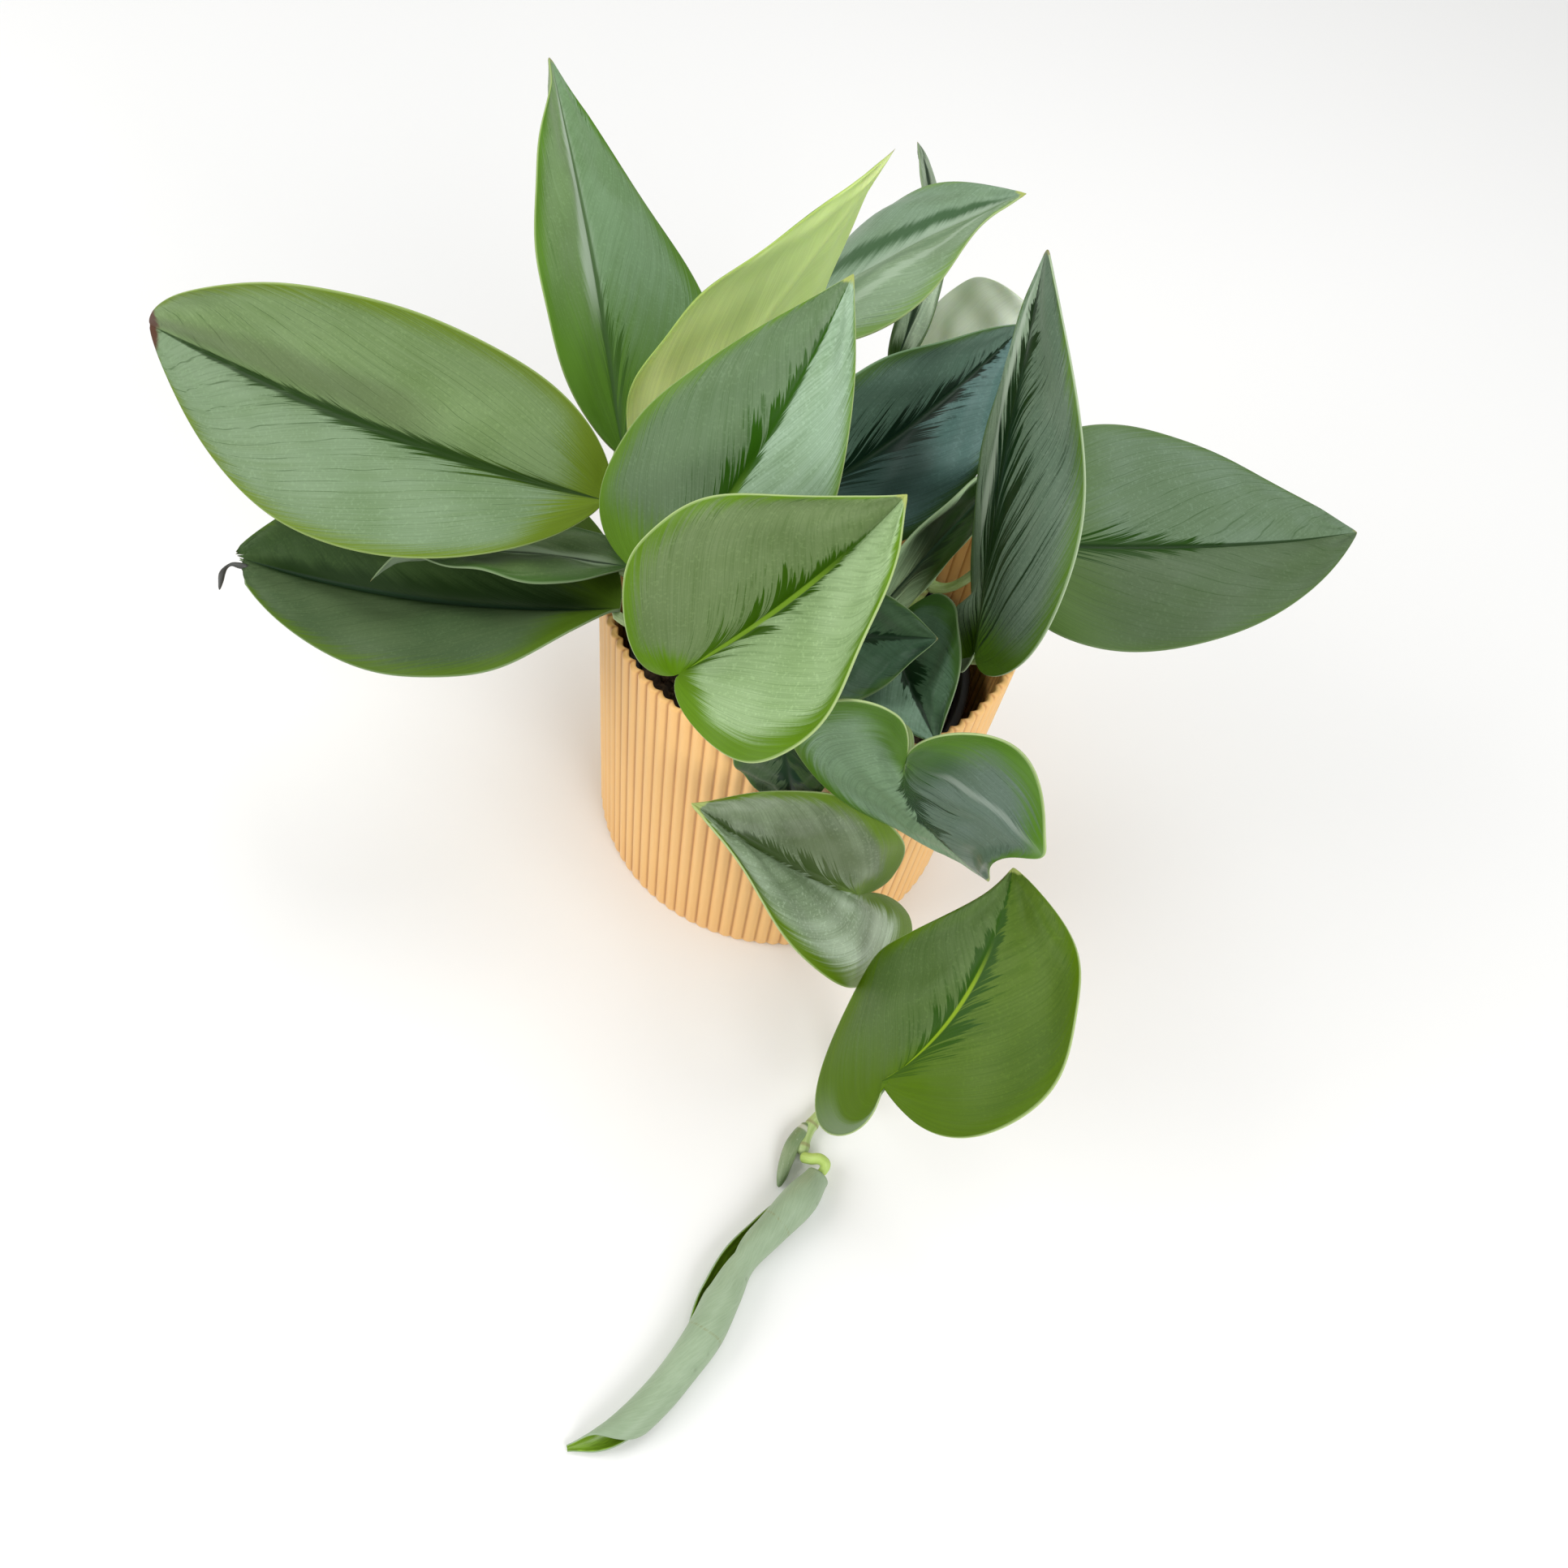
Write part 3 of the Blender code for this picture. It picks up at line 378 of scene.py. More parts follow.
petioleLook = {
    "points": 40, "sides": 24, "bend": 0.35, "seat": 1.0, "rooted": 0.75, "outward": 0.8, "upward": 0.6,
    "below": 0.85, "ahead": 1.0, "channel": 0.16, "channelWide": 0.45, "foot": 1.30, "footLong": 0.13,
    "neck": 0.86, "knee": 1.06, "kneeAt": 0.93, "kneeLong": 0.07,
    "green": (0.250, 0.370, 0.110), "pale": (0.420, 0.540, 0.260), "ring": (0.200, 0.230, 0.080),
}


def unit(vectors):
    # each vector divided by its length
    return vectors / np.linalg.norm(vectors, axis=-1, keepdims=True)


def smoothRoute(points, count):
    # Catmull-Rom curve through the points, at count places evenly spaced in parameter
    points = np.array(points, float)
    ends = np.vstack([2 * points[0] - points[1], points, 2 * points[-1] - points[-2]])
    place = np.linspace(0, len(points) - 1, count)
    span = np.minimum(place.astype(int), len(points) - 2)
    u = (place - span)[:, None]
    a, b, c, d = ends[span], ends[span + 1], ends[span + 2], ends[span + 3]
    return 0.5 * (2 * b + (c - a) * u + (2 * a - 5 * b + 4 * c - d) * u**2
                  + (3 * b - 3 * c + d - a) * u**3)


def loopFaces(rows, loop):
    # quads between neighbouring rows of a closed loop
    row, step = np.meshgrid(np.arange(rows - 1), np.arange(loop), indexing="ij")
    here, after = row * loop + step, row * loop + (step + 1) % loop
    return np.stack([here, after, after + loop, here + loop], -1).reshape(-1, 4)


def stripFaces(first, loop):
    # quads that close a loop folded flat: point j lies under point loop - 1 - j
    j = np.arange(loop // 2 - 1)
    return np.stack([first + j, first + loop - 1 - j, first + loop - 2 - j, first + j + 1], -1)


def sheetFaces(rows, loop):
    # the wall of a flat loop carried along, and the strips that close it at both ends
    return np.concatenate([loopFaces(rows, loop), stripFaces(0, loop),
                           stripFaces((rows - 1) * loop, loop)[:, ::-1]])


def capLoops(rows, loop):
    # the first and the last loop of a grid, each to be closed by one face
    return [np.arange(loop)[::-1].tolist(), ((rows - 1) * loop + np.arange(loop)).tolist()]


def flatLoop(line, rimSteps):
    # out along the upper face, round the rim, back along the under face and round the other rim:
    # the place across, the reach beyond the edge and the height, the last two as sine and cosine
    bow = np.linspace(0, np.pi, rimSteps + 2)[1:-1]
    flat = np.zeros_like(line)
    return (np.concatenate([line, 1 + 0 * bow, line[::-1], -1 + 0 * bow]),
            np.concatenate([flat, np.sin(bow), flat, -np.sin(bow)]),
            np.concatenate([flat + 1, np.cos(bow), flat - 1, -np.cos(bow)]))


def smoothed(values, reach):
    # the mean over reach neighbours on either side
    return np.convolve(np.pad(values, reach, "edge"), np.ones(2 * reach + 1) / (2 * reach + 1), "valid")


def tinted(colour, share):
    # a lighter or darker tone: every part of the colour times the share
    return tuple(share * part for part in colour)


def addPiece(name, points, quads, paint, attributes=None, ends=()):
    # points and attributes are grids of vectors, quads are index rows, and ends are whole loops
    # closed by one flat face each
    mesh = bpy.data.meshes.new(name)
    mesh.from_pydata((points.reshape(-1, 3) * mm).tolist(), [], [*quads.tolist(), *ends])
    for key, values in (attributes or {}).items():
        data = mesh.attributes.new(key, "FLOAT_VECTOR", "POINT").data
        data.foreach_set("vector", values.astype(np.float32).ravel())
    mesh.shade_smooth()
    mesh.materials.append(paint)
    piece = bpy.data.objects.new(name, mesh)
    bpy.context.scene.collection.objects.link(piece)
    return piece


def settle(piece, node):
    # the piece takes the place of its CAD node
    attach(piece, "root")
    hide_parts(node)


def operator(operation, turned=False):
    # a method that adds one Math node; turned swaps its values, for the reflected form
    def method(number, *others):
        values = (number, *others)
        return number.maths(operation, *(values[::-1] if turned else values))
    return method


class Number:
    # a socket that holds a number: + - * / ** and abs on it add Math nodes
    def __init__(self, paint, socket):
        self.paint, self.socket = paint, socket

    def maths(self, operation, *values):
        return self.paint.node("ShaderNodeMath", {"operation": operation}, dict(enumerate(values)))

    __add__ = __radd__ = operator("ADD")
    __sub__, __rsub__ = operator("SUBTRACT"), operator("SUBTRACT", True)
    __mul__ = __rmul__ = operator("MULTIPLY")
    __truediv__, __pow__ = operator("DIVIDE"), operator("POWER")
    __abs__, over = operator("ABSOLUTE"), operator("MAXIMUM")


class Paint:
    # a material whose node method adds any node: settings first, then values or links by socket
    def __init__(self, name):
        self.material = bpy.data.materials.new(name)
        self.material.use_nodes = True
        self.tree = self.material.node_tree
        self.shader = self.tree.nodes["Principled BSDF"]

    def node(self, kind, settings, inputs, output=0):
        made = self.tree.nodes.new(kind)
        for key, value in settings.items():
            setattr(made, key, value)
        for key, value in inputs.items():
            if isinstance(value, Number):
                self.tree.links.new(value.socket, made.inputs[key])
            else:
                made.inputs[key].default_value = value
        if isinstance(output, tuple):
            return [Number(self, made.outputs[n]) for n in output]
        return Number(self, made.outputs[output])

    def attribute(self, name):
        vector = self.node("ShaderNodeAttribute", {"attribute_name": name}, {}, 1)
        return self.node("ShaderNodeSeparateXYZ", {}, {0: vector}, (0, 1, 2))

    def objectPlace(self):
        return self.node("ShaderNodeTexCoord", {}, {}, 3)

    def vector(self, x, y, z):
        return self.node("ShaderNodeCombineXYZ", {}, {0: x, 1: y, 2: z})

    def noise(self, place, scale=1.0, detail=2.0):
        return self.node("ShaderNodeTexNoise", {}, {"Vector": place, "Scale": scale, "Detail": detail})

    def step(self, value, low, high):
        # 0 below low, 1 above high, smooth between; low may be above high
        return self.node("ShaderNodeMapRange", {"interpolation_type": "SMOOTHSTEP"},
                         {0: value, 1: low, 2: high, 3: 0.0, 4: 1.0})

    def mix(self, share, first, second):
        first, second = ((*c, 1.0) if isinstance(c, tuple) else c for c in (first, second))
        return self.node("ShaderNodeMix", {"data_type": "RGBA"}, {0: share, 6: first, 7: second}, 2)

    def blend(self, share, first, second):
        return self.node("ShaderNodeMix", {}, {0: share, 2: first, 3: second})

    def bump(self, height, strength, distance):
        self.give(Normal=self.node("ShaderNodeBump", {}, {
            "Height": height, "Strength": strength, "Distance": distance}))

    def give(self, **inputs):
        for key, value in inputs.items():
            socket = self.shader.inputs[key.replace("_", " ")]
            if isinstance(value, Number):
                self.tree.links.new(value.socket, socket)
            else:
                socket.default_value = value


def midrib(leaf, s):
    # place s along the midrib and the directions onward, out of the upper face and to the right:
    # a straight line from base to tip, bowed by arch and sweep, and twisted about itself
    base, tip = np.array(leaf["base"], float), np.array(leaf["tip"], float)
    length = np.linalg.norm(tip - base)
    along = (tip - base) / length
    up = unit(np.array([0, 0, 1.0]) - along[2] * along)
    roll = math.radians(leaf["roll"])
    face = up * math.cos(roll) + np.cross(along, up) * math.sin(roll)
    bowWay = leaf["arch"] * face + leaf["sweep"] * np.cross(along, face)
    s = s[..., None]
    place = base + length * (s * along + 4 * s * (1 - s) * bowWay)
    onward = unit(along + (4 - 8 * s) * bowWay)
    normal = unit(face - (onward @ face)[..., None] * onward)
    right = np.cross(onward, normal)
    turn = np.radians(leaf["twist"]) * (s - 0.5)
    return (place, onward, normal * np.cos(turn) + right * np.sin(turn),
            right * np.cos(turn) - normal * np.sin(turn))


def halfWidth(leaf, t, onRight):
    # width t^round (1-t)^taper, narrowed by the acumen at the tip, with swells on either side
    a, b = leaf["round"], leaf["taper"]
    peak = (a / (a + b))**a * (b / (a + b))**b
    half = leaf["width"] / 2 * (1 + leaf["lean"] * np.where(onRight, 1, -1))
    wide = half * t**a * (1 - t)**b / peak * (1 - np.where(onRight, *leaf["acumen"][::-1]) * t**6)
    for side, at, reach, push in leaf["swells"]:
        swell = push * np.exp(-((t - at) / reach)**2) * (onRight == (side > 0))
        wide = wide + swell * np.minimum(1, 20 * (1 - t))
    return wide, half


def bladeSurface(leaf, t, v, lift):
    # the half outline is set back by the basal lobes and drawn out at the tip, then the lobes are
    # hooked in; across, a line leaves the midrib at the fold angle and turns by the cup angle and
    # by the lips, added up in short steps; lift is the height above that sheet and grows by the
    # relief, and the tail pushes the last part of the tip aside
    length = np.linalg.norm(np.subtract(leaf["tip"], leaf["base"]))
    onRight = v > 0
    side = np.where(onRight, 1, -1)
    out = np.abs(v)

    def each(key):
        return np.where(onRight, leaf[key][1], leaf[key][0])

    wide, half = halfWidth(leaf, t, onRight)
    ahead = t - bladeGrid["lobeReach"] * each("lobe") * np.sqrt(t) * (1 - t)**2 + leaf["drip"] * t**14
    ahead = ahead / (1 + leaf["drip"]) * length
    hook = np.radians(each("hook")) * (1 - t)**3
    edgeAhead = ahead * np.cos(hook) - wide * np.sin(hook)
    edgeOut = ahead * np.sin(hook) + wide * np.cos(hook)

    centre, _, normal, lateral = midrib(leaf, t + (edgeAhead / length - t) * out)
    steps = bladeGrid["steps"]
    share = (np.arange(steps) + 0.5) / steps * out[..., None]
    angle = turnAt(leaf, t[..., None], share, side[..., None], (each("fold"), each("cup") / half, edgeOut))
    sideways = side * np.cos(angle).mean(-1) * out * edgeOut
    raised = np.sin(angle).mean(-1) * out * edgeOut
    here = turnAt(leaf, t[..., None], out[..., None], side[..., None],
                  (each("fold"), each("cup") / half, edgeOut))[..., 0]
    point = centre + sideways[..., None] * lateral + raised[..., None] * normal
    facing = normal * np.cos(here)[..., None] - lateral * (side * np.sin(here))[..., None]
    lift = lift + relief(leaf, length, t, v)
    tail = np.clip((t - bladeGrid["tailFrom"]) / bladeGrid["tailLong"], 0, 1)[..., None]**2
    return point + facing * lift[..., None] + tail * (leaf["tail"][0] * normal + leaf["tail"][1] * lateral)


def turnAt(leaf, t, out, side, bend):
    # angle of the sheet at a share of the way out: fold, cup by the distance, then lips, each of
    # which turns the margin by so many degrees between two shares of the half width
    fold, cup, reach = (value[..., None] for value in bend)
    turn = fold + cup * out * reach
    for on, start, end, low, high, degrees in leaf["lips"]:
        fade = bladeGrid["lipFade"]
        along = np.clip((t - low) / fade, 0, 1) * np.clip((high - t) / fade, 0, 1)
        ramp = np.clip((out - start) / (end - start), 0, 1)
        turn = turn + degrees * along * ramp * (side == on)
    return np.radians(turn)


def relief(leaf, length, t, v):
    # low bulges as sums of sines, raised veins that slant forward, and a wavy margin
    random = np.random.default_rng(int(abs(leaf["base"][0] * 7 + leaf["tip"][1] * 13)))
    out = np.abs(v)
    slant = leaf["slant"] * out**bladeGrid["veinBend"]
    vein = (t - slant) / (1 - slant)
    height = bladeGrid["veinHeight"] * np.sin(2 * np.pi * vein * length / bladeGrid["veinSpacing"])
    height = height * out * (1 - out)
    for turns in (1.3, 2.1, 3.4):
        phase = random.uniform(0, 2 * np.pi, 2)
        height = height + (bladeGrid["bulge"] * np.sin(2 * np.pi * turns * t + phase[0])
                           * np.sin(np.pi * turns * v * 0.8 + phase[1]) * np.minimum(1, 3 * out))
    phase = random.uniform(0, 2 * np.pi)
    height = height + leaf["wave"] * np.sin(2 * np.pi * bladeGrid["waves"] * t + phase + 2 * (v > 0)) * out**3
    return height * np.minimum(1, 12 * t) * np.minimum(1, 12 * (1 - t))


def addBlade(name, leaf, paint):
    # a flat loop at each t, with half-round rims no wider than the blade is there; the upper face
    # sinks along the midrib, the under face carries a keel, and a torn tip is cut back raggedly
    grid = bladeGrid
    t = ((1 - np.cos(np.pi * np.linspace(0, 1, grid["rows"]))) / 2 * 0.996 + 0.002)[:, None]
    line = np.linspace(-1, 1, grid["columns"])
    line = 0.75 * line + 0.25 * line**3
    inner, reach, height = flatLoop(line, grid["rimSteps"])
    wide = np.minimum(halfWidth(leaf, t, True)[0], halfWidth(leaf, t, False)[0])
    if leaf["torn"]:
        ragged = np.sin(inner * 23 + 1) + np.sin(inner * 51 + 2) * 0.6 + np.sin(inner * 97) * 0.3
        t = t * (1 - leaf["torn"] * (1 - 0.6 * inner + 0.3 * ragged) * t**8)
    thick = np.minimum(grid["thickness"] / 2, 0.45 * wide)
    rim = np.minimum(thick / wide, 0.45)
    v = inner * (1 - rim) + reach * rim
    t = t + 0 * v
    across = np.abs(v) * wide
    groove = (grid["grooveDepth"] * np.exp(-(across / grid["grooveWidth"])**2)
              + leaf["valley"] * np.exp(-(across / grid["valleyWidth"])**2))
    keel = leaf["keel"] * grid["keelHeight"] * (1 - t)**0.7 * np.exp(-(across / grid["keelWidth"])**2)
    fade = np.minimum(1, 8 * t) * np.minimum(1, 5 * (1 - t))
    lift = thick * height - groove * fade - keel * fade * (height < 0)
    return addPiece(name, bladeSurface(leaf, t, v, lift), sheetFaces(*v.shape)[:, ::-1], paint,
                    {"leafPlace": np.stack([t, v, height + 0 * v], -1)})


def addWisp(name, leaf):
    # a dried thread that curls away from a torn tip, on a path that starts inside the blade
    look, count = wispLook, wispLook["points"]
    start = bladeSurface(leaf, *(np.array(place) for place in look["starts"]), 0.0)
    route = smoothRoute(start + np.array(leaf["wisp"]), count)
    radii = look["radius"] + look["uneven"] * np.sin(np.linspace(0, 11, count))
    radii = roundedEnds(radii, look["rounded"])
    piece = tube(name, route, radii, look["sides"], barPaint(name + "Skin", look))
    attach(piece, "root")


def leafPaint(name, leaf):
    # colours by place on the blade, each laid over the last: tone, fibres, pale specks, green margin
    # and foot, dark band, veins, stripes, midrib, then the under face, the rim and the tip; the tone,
    # a few stripes and some under faces carry painted light and shade, and the rim is a painted highlight
    look = {**commonLook, **leafLooks[leaf["kind"]], **leaf["look"]}
    length = float(np.linalg.norm(np.subtract(leaf["tip"], leaf["base"])))
    half = leaf["width"] / 2
    seed = float(int(abs(leaf["base"][0] * 3 + leaf["tip"][1])))
    paint = Paint(name)
    t, v, side = paint.attribute("leafPlace")
    out, onRight = abs(v), paint.step(v, -0.002, 0.002)
    slant = out**bladeGrid["veinBend"] * leaf["slant"]
    vein = (t - slant) / (1 - slant)

    def fibres(width, reach, shift, detail=2.0):
        # noise drawn out along the veins: width and reach of one fibre in millimetres
        place = paint.vector(vein * (length / width), v * (half / reach), seed + shift)
        return paint.noise(place, 1.0, detail)

    teeth = (fibres(7.0, 30, 1, 1.0) - 0.5) * 0.95 + (fibres(1.5, 20, 5, 3.0) - 0.5) * 0.8
    broad = fibres(14, 30, 2)
    fine = fibres(1.3, 16, 3, 3.0)
    strokes = fibres(1.9, 11, 4)
    patch = paint.noise(paint.vector(t * (length / 30), v * (half / 30), seed + 9), 1.0, 2.0)

    bandHere = paint.blend(onRight, *map(float, look["band"])) * (t + 0.04)**0.35 * (1.02 - t)**0.8 * 1.7
    bandHere = bandHere * paint.step(t, look["bandEnd"] + 0.2, look["bandEnd"] - 0.2)
    band = paint.step(out - bandHere * (1 + teeth * 6), 0.02, -0.02)
    marginHere = paint.blend(onRight, *map(float, look["margin"])) * ((1 - t)**3 * 1.5 + 1)
    margin = paint.step(out + teeth * 0.25 + marginHere, 0.86, 1.05)
    foot = paint.step(t + teeth * 0.12 - out * 0.08, look["foot"] * 1.35, look["foot"] * 0.35)

    # the tone of each half: partly the blade's own colour, partly painted light and shade
    plain = paint.mix(onRight, *look["tones"])
    washed = paint.mix(onRight, *(tuple(c * w for c, w in zip(tone, look["wash"])) for tone in look["tones"]))
    colour = paint.mix(paint.step(patch + (broad - 0.5) * 0.4, 0.35, 0.65), plain, washed)
    colour = paint.mix(paint.step(fine, 0.42, 0.68) * look["fibre"] * 0.5, colour, look["dark"])
    near = paint.step(out - bandHere * 3, 0.05, -0.05).over(paint.step(out + marginHere, 0.70, 0.95))
    colour = paint.mix(paint.step(strokes, 0.57, 0.64) * near * look["strokes"], colour, look["dark"])
    speck = paint.noise(paint.objectPlace(), 1000.0, 3.0)
    pale = paint.mix(onRight, *(tinted(tone, 1.35) for tone in look["tones"]))
    colour = paint.mix(paint.step(speck, 0.52, 0.70) * 0.3, colour, pale)
    vivid = paint.mix(paint.step(broad, 0.35, 0.65) * 0.4, look["green"], tinted(look["green"], 1.3))
    colour = paint.mix(margin.over(foot), colour, vivid)
    bandColour = paint.mix(paint.step(t, 0.45, 0.0) * look["footBand"], look["dark"], look["green"])
    colour = paint.mix(band, colour, bandColour)
    if look["veins"]:
        wander = vein * (length / 20) + (patch - 0.5) * 1.2
        nearLine = abs(wander.maths("FRACT", wander) - 0.5)
        line = paint.step(nearLine, 0.05, 0.01) * paint.step(strokes, 0.40, 0.55) * look["veins"]
        colour = paint.mix(line, colour, look["dark"])
    # most stripes are the leaf's own streaks; a few are painted shade, sheen and highlight, named at their
    # leaves
    for start, end, width, tint, share in look["stripes"]:
        path = (t - start[0]) * ((end[1] - start[1]) / (end[0] - start[0])) + start[1]
        nearPath = paint.step(abs(v - path + teeth * 0.12), width, 0.25 * width)
        ends = paint.step(t, start[0], start[0] + 0.15) * paint.step(t, end[0], end[0] - 0.15)
        colour = paint.mix(nearPath * ends * share, colour, tint)
    rib = paint.step(out, look["ribWide"] / half, 0.4 * look["ribWide"] / half)
    rib = rib * paint.step(t, look["ribEnd"] + 0.15, look["ribEnd"] - 0.1)
    colour = paint.mix(rib * 0.85, colour, look["rib"])
    # where a foot colour is given the under face lightens towards the foot: painted light for light shining
    # through the blade
    underTone = paint.mix(paint.step(t, 0.7, 0.2), look["under"], look.get("underBacklitFoot", look["under"]))
    mottle = paint.step(fine + broad * 0.6, 0.55, 1.0) * 0.30
    under = paint.mix(mottle, underTone, tinted(look["under"], 0.72))
    keel = paint.step(out, 2.2 / half, 0.8 / half) * look["keelPale"]
    under = paint.mix(keel, under, tinted(look["under"], 1.25))
    colour = paint.mix(paint.step(side, -0.2, -0.6), colour, under)
    # the rim and a thin line just inside the margin take the pale edge colour: painted highlight where the
    # blade's edge catches light
    edge = paint.step(abs(side), 0.9, 0.5).over(paint.step(out, 1 - 0.7 / half, 1 - 0.3 / half) * 0.5)
    colour = paint.mix(edge * 0.75, colour, look["edge"])
    dry = paint.step(t + teeth * 0.02, look["tipFrom"], look["tipFrom"] + 0.012)
    colour = paint.mix(dry, colour, look["tip"])
    rough = (fine - 0.5) * 0.25 + look["rough"] - band * 0.06 + paint.step(side, -0.2, -0.6) * 0.12
    paint.give(Base_Color=colour, Roughness=rough, Specular_IOR_Level=look["gloss"])
    if look["through"]:
        paint.give(Subsurface_Weight=look["through"], Subsurface_Radius=(0.8, 1.0, 0.4),
                   Subsurface_Scale=2.0 * mm)
    paint.bump(fine + broad * 2, 0.35, 0.12 * mm)
    return paint.material


def tube(name, route, radii, sides, paint, shape=None, marks=None):
    # a closed round bar along a route: each ring is square to it and turned from the axis that the
    # route follows least; shape scales the radius by angle, and marks go to the paint
    onward = unit(np.gradient(route, axis=0))
    axis = np.eye(3)[np.argmin(np.abs(onward).max(0))]
    up = unit(axis - (onward @ axis)[:, None] * onward)
    across = np.cross(onward, up)
    angle = np.arange(sides) * 2 * np.pi / sides
    profile = np.ones(sides) if shape is None else shape(angle)
    ring = radii[:, None] * profile
    points = (route[:, None] + (ring * np.cos(angle))[..., None] * up[:, None]
              + (ring * np.sin(angle))[..., None] * across[:, None])
    rows = len(route)
    place = np.zeros((rows, sides, 3))
    place[..., 0] = np.linspace(0, 1, rows)[:, None]
    place[..., 1] = angle / (2 * np.pi)
    place[..., 2] = 0 if marks is None else marks[:, None]
    return addPiece(name, points, loopFaces(rows, sides), paint, {"barPlace": place}, capLoops(rows, sides))


def roundedEnds(radii, share=0.02):
    # radius falls as a quarter circle over the last share of the bar at both ends
    place = np.linspace(0, 1, len(radii))
    near = np.clip(np.minimum(place, 1 - place) / share, 0.02, 1)
    return radii * np.sqrt(1 - (1 - near)**2)


def barPaint(name, colours, rough=0.42):
    # pale green skin with lengthwise streaks and brownish rings where marks are set
    paint = Paint(name)
    along, around, mark = paint.attribute("barPlace")
    place = paint.objectPlace()
    patch = paint.noise(place, 90.0, 3.0)
    streak = paint.noise(paint.vector(along * 6, around * 22, 0.0), 1.0, 2.0)
    colour = paint.mix(paint.step(patch * 0.6 + streak * 0.4, 0.35, 0.65), colours["green"], colours["pale"])
    colour = paint.mix(paint.step(mark, 0.35, 0.9) * 0.8, colour, colours["ring"])
    speck = paint.noise(place, 900.0, 2.0)
    colour = paint.mix(paint.step(speck, 0.66, 0.72) * 0.35, colour, colours["ring"])
    paint.give(Base_Color=colour, Roughness=(patch - 0.5) * 0.2 + rough)
    paint.bump(streak * 2 + patch, 0.3, 0.15 * mm)
    return paint.material


def stemNode(leaf):
    # where the leaf's height meets its stem's route, on the climbing part or past the crest: the
    # point, the way the stem grows there, and the share of the route
    line = smoothRoute(stems[leaf["stem"]]["route"], stemLook["steps"])
    crest = np.argmax(line[:, 2])
    climbing = np.arange(len(line)) <= crest
    rises = leaf["height"] > line[0, 2]
    miss = np.abs(line[:, 2] - leaf["height"]) + np.where(climbing == rises, 0, 1000)
    nearest = min(int(np.argmin(miss)), len(line) - 2)
    return line[nearest], unit(line[nearest + 1] - line[nearest]), nearest / (len(line) - 1)


def petioleRoute(leaf):
    # a cubic curve that leaves the stem's side, comes up to the blade's base from underneath and
    # runs on into the keel
    node, grows, _ = stemNode(leaf)
    length = np.linalg.norm(np.subtract(leaf["tip"], leaf["base"]))
    place, onward, normal, _ = midrib(leaf, np.array(petioleLook["seat"] / length))
    toward = place - node
    outward = unit(toward - (toward @ grows) * grows)
    start = node + outward * (stems[leaf["stem"]]["radius"] * petioleLook["rooted"])
    startWay = unit(outward * petioleLook["outward"] + grows * petioleLook["upward"])
    rise = math.radians(leaf["rise"])
    endWay = onward * math.cos(rise) + normal * math.sin(rise)
    drop = bladeGrid["thickness"] / 2 + petioleLook["below"] * leaf["petiole"] * math.cos(rise)
    end = place - normal * drop + onward * petioleLook["ahead"] + endWay * leaf["runOn"]
    reach = np.linalg.norm(end - start) * petioleLook["bend"]
    a, b, c, d = start, start + startWay * reach, end - endWay * reach, end
    u = np.linspace(0, 1, petioleLook["points"])[:, None]
    return a * (1 - u)**3 + 3 * b * u * (1 - u)**2 + 3 * c * u**2 * (1 - u) + d * u**3


def addPetiole(key, leaf, paint):
    # clasps the stem with a wide foot, is channelled above, and swells at the knee under the blade
    u = np.linspace(0, 1, petioleLook["points"])
    look, neck = petioleLook, petioleLook["neck"]
    size = neck + (look["foot"] - neck) * np.exp(-(u / look["footLong"])**2)
    size = size + (look["knee"] - neck) * np.exp(-((u - look["kneeAt"]) / look["kneeLong"])**2)

    def channelled(angle):
        # the radius is less by a bell curve about the top of the ring
        off = np.minimum(angle, 2 * np.pi - angle) / look["channelWide"]
        return 1 - look["channel"] * np.exp(-off**2)

    piece = tube("petiole" + spoken(key), petioleRoute(leaf), roundedEnds(leaf["petiole"] * size, 0.03),
                 petioleLook["sides"], paint, channelled, 0.5 * np.exp(-(u / 0.05)**2))
    settle(piece, "petiole_" + key)


def addStem(name, stem, paint):
    # nodes: where a petiole leaves and at each internode the stem swells, with a brown ring; where it
    # lies it stays clear of the surface
    count = 6 * len(stem["route"]) + 60
    route = smoothRoute(stem["route"], count)
    length = np.linalg.norm(np.diff(route, axis=0), axis=1).sum()
    place = np.linspace(0, 1, count)
    marks = np.zeros(count)
    spots = [stemNode({**leafShape, **leaf})[2] for leaf in leaves.values() if leaf["stem"] == name]
    spots = spots + list(np.arange(0.5, length / stemLook["internode"]) * stemLook["internode"] / length)
    for spot in spots:
        marks = np.maximum(marks, np.exp(-((place - spot) * length / stemLook["nodeLength"])**2))
    radii = stem["radius"] * np.linspace(1, stemLook["taper"], count) * (1 + stemLook["nodeSwell"] * marks)
    # the foot is drawn down into the soil, by less and less over the first millimetres
    route[:, 2] -= stemLook["planted"] * np.exp(-(place * length / stemLook["plantedOver"])**2)
    room = np.maximum(route[:, 2] - stemLook["clear"], stemLook["thinnest"])
    radii = roundedEnds(np.minimum(radii, room), stemLook["rounded"])
    piece = tube("stem" + spoken(name[5:]), route, radii, stemLook["sides"], paint, None, marks * 0.8)
    settle(piece, name)


def spoken(key):
    # left_large becomes LeftLarge
    return key.title().replace("_", "")


print("camera, light and floor")
view = {
    "place": (0.0, -347.7, 527.0), "focal": 2000 / 1932, "down": 56.1, "yaw": 0.6, "roll": 12.3,
    "sensor": 36.0, "world": 0.50, "floor": (0.88, 0.88, 0.87), "floorReach": 4000.0,
    "lamps": (((-1050, -300, 800), 1100, 9.4), ((200, 400, 1300), 900, 5.8), ((650, -900, 850), 800, 8.8)),
}


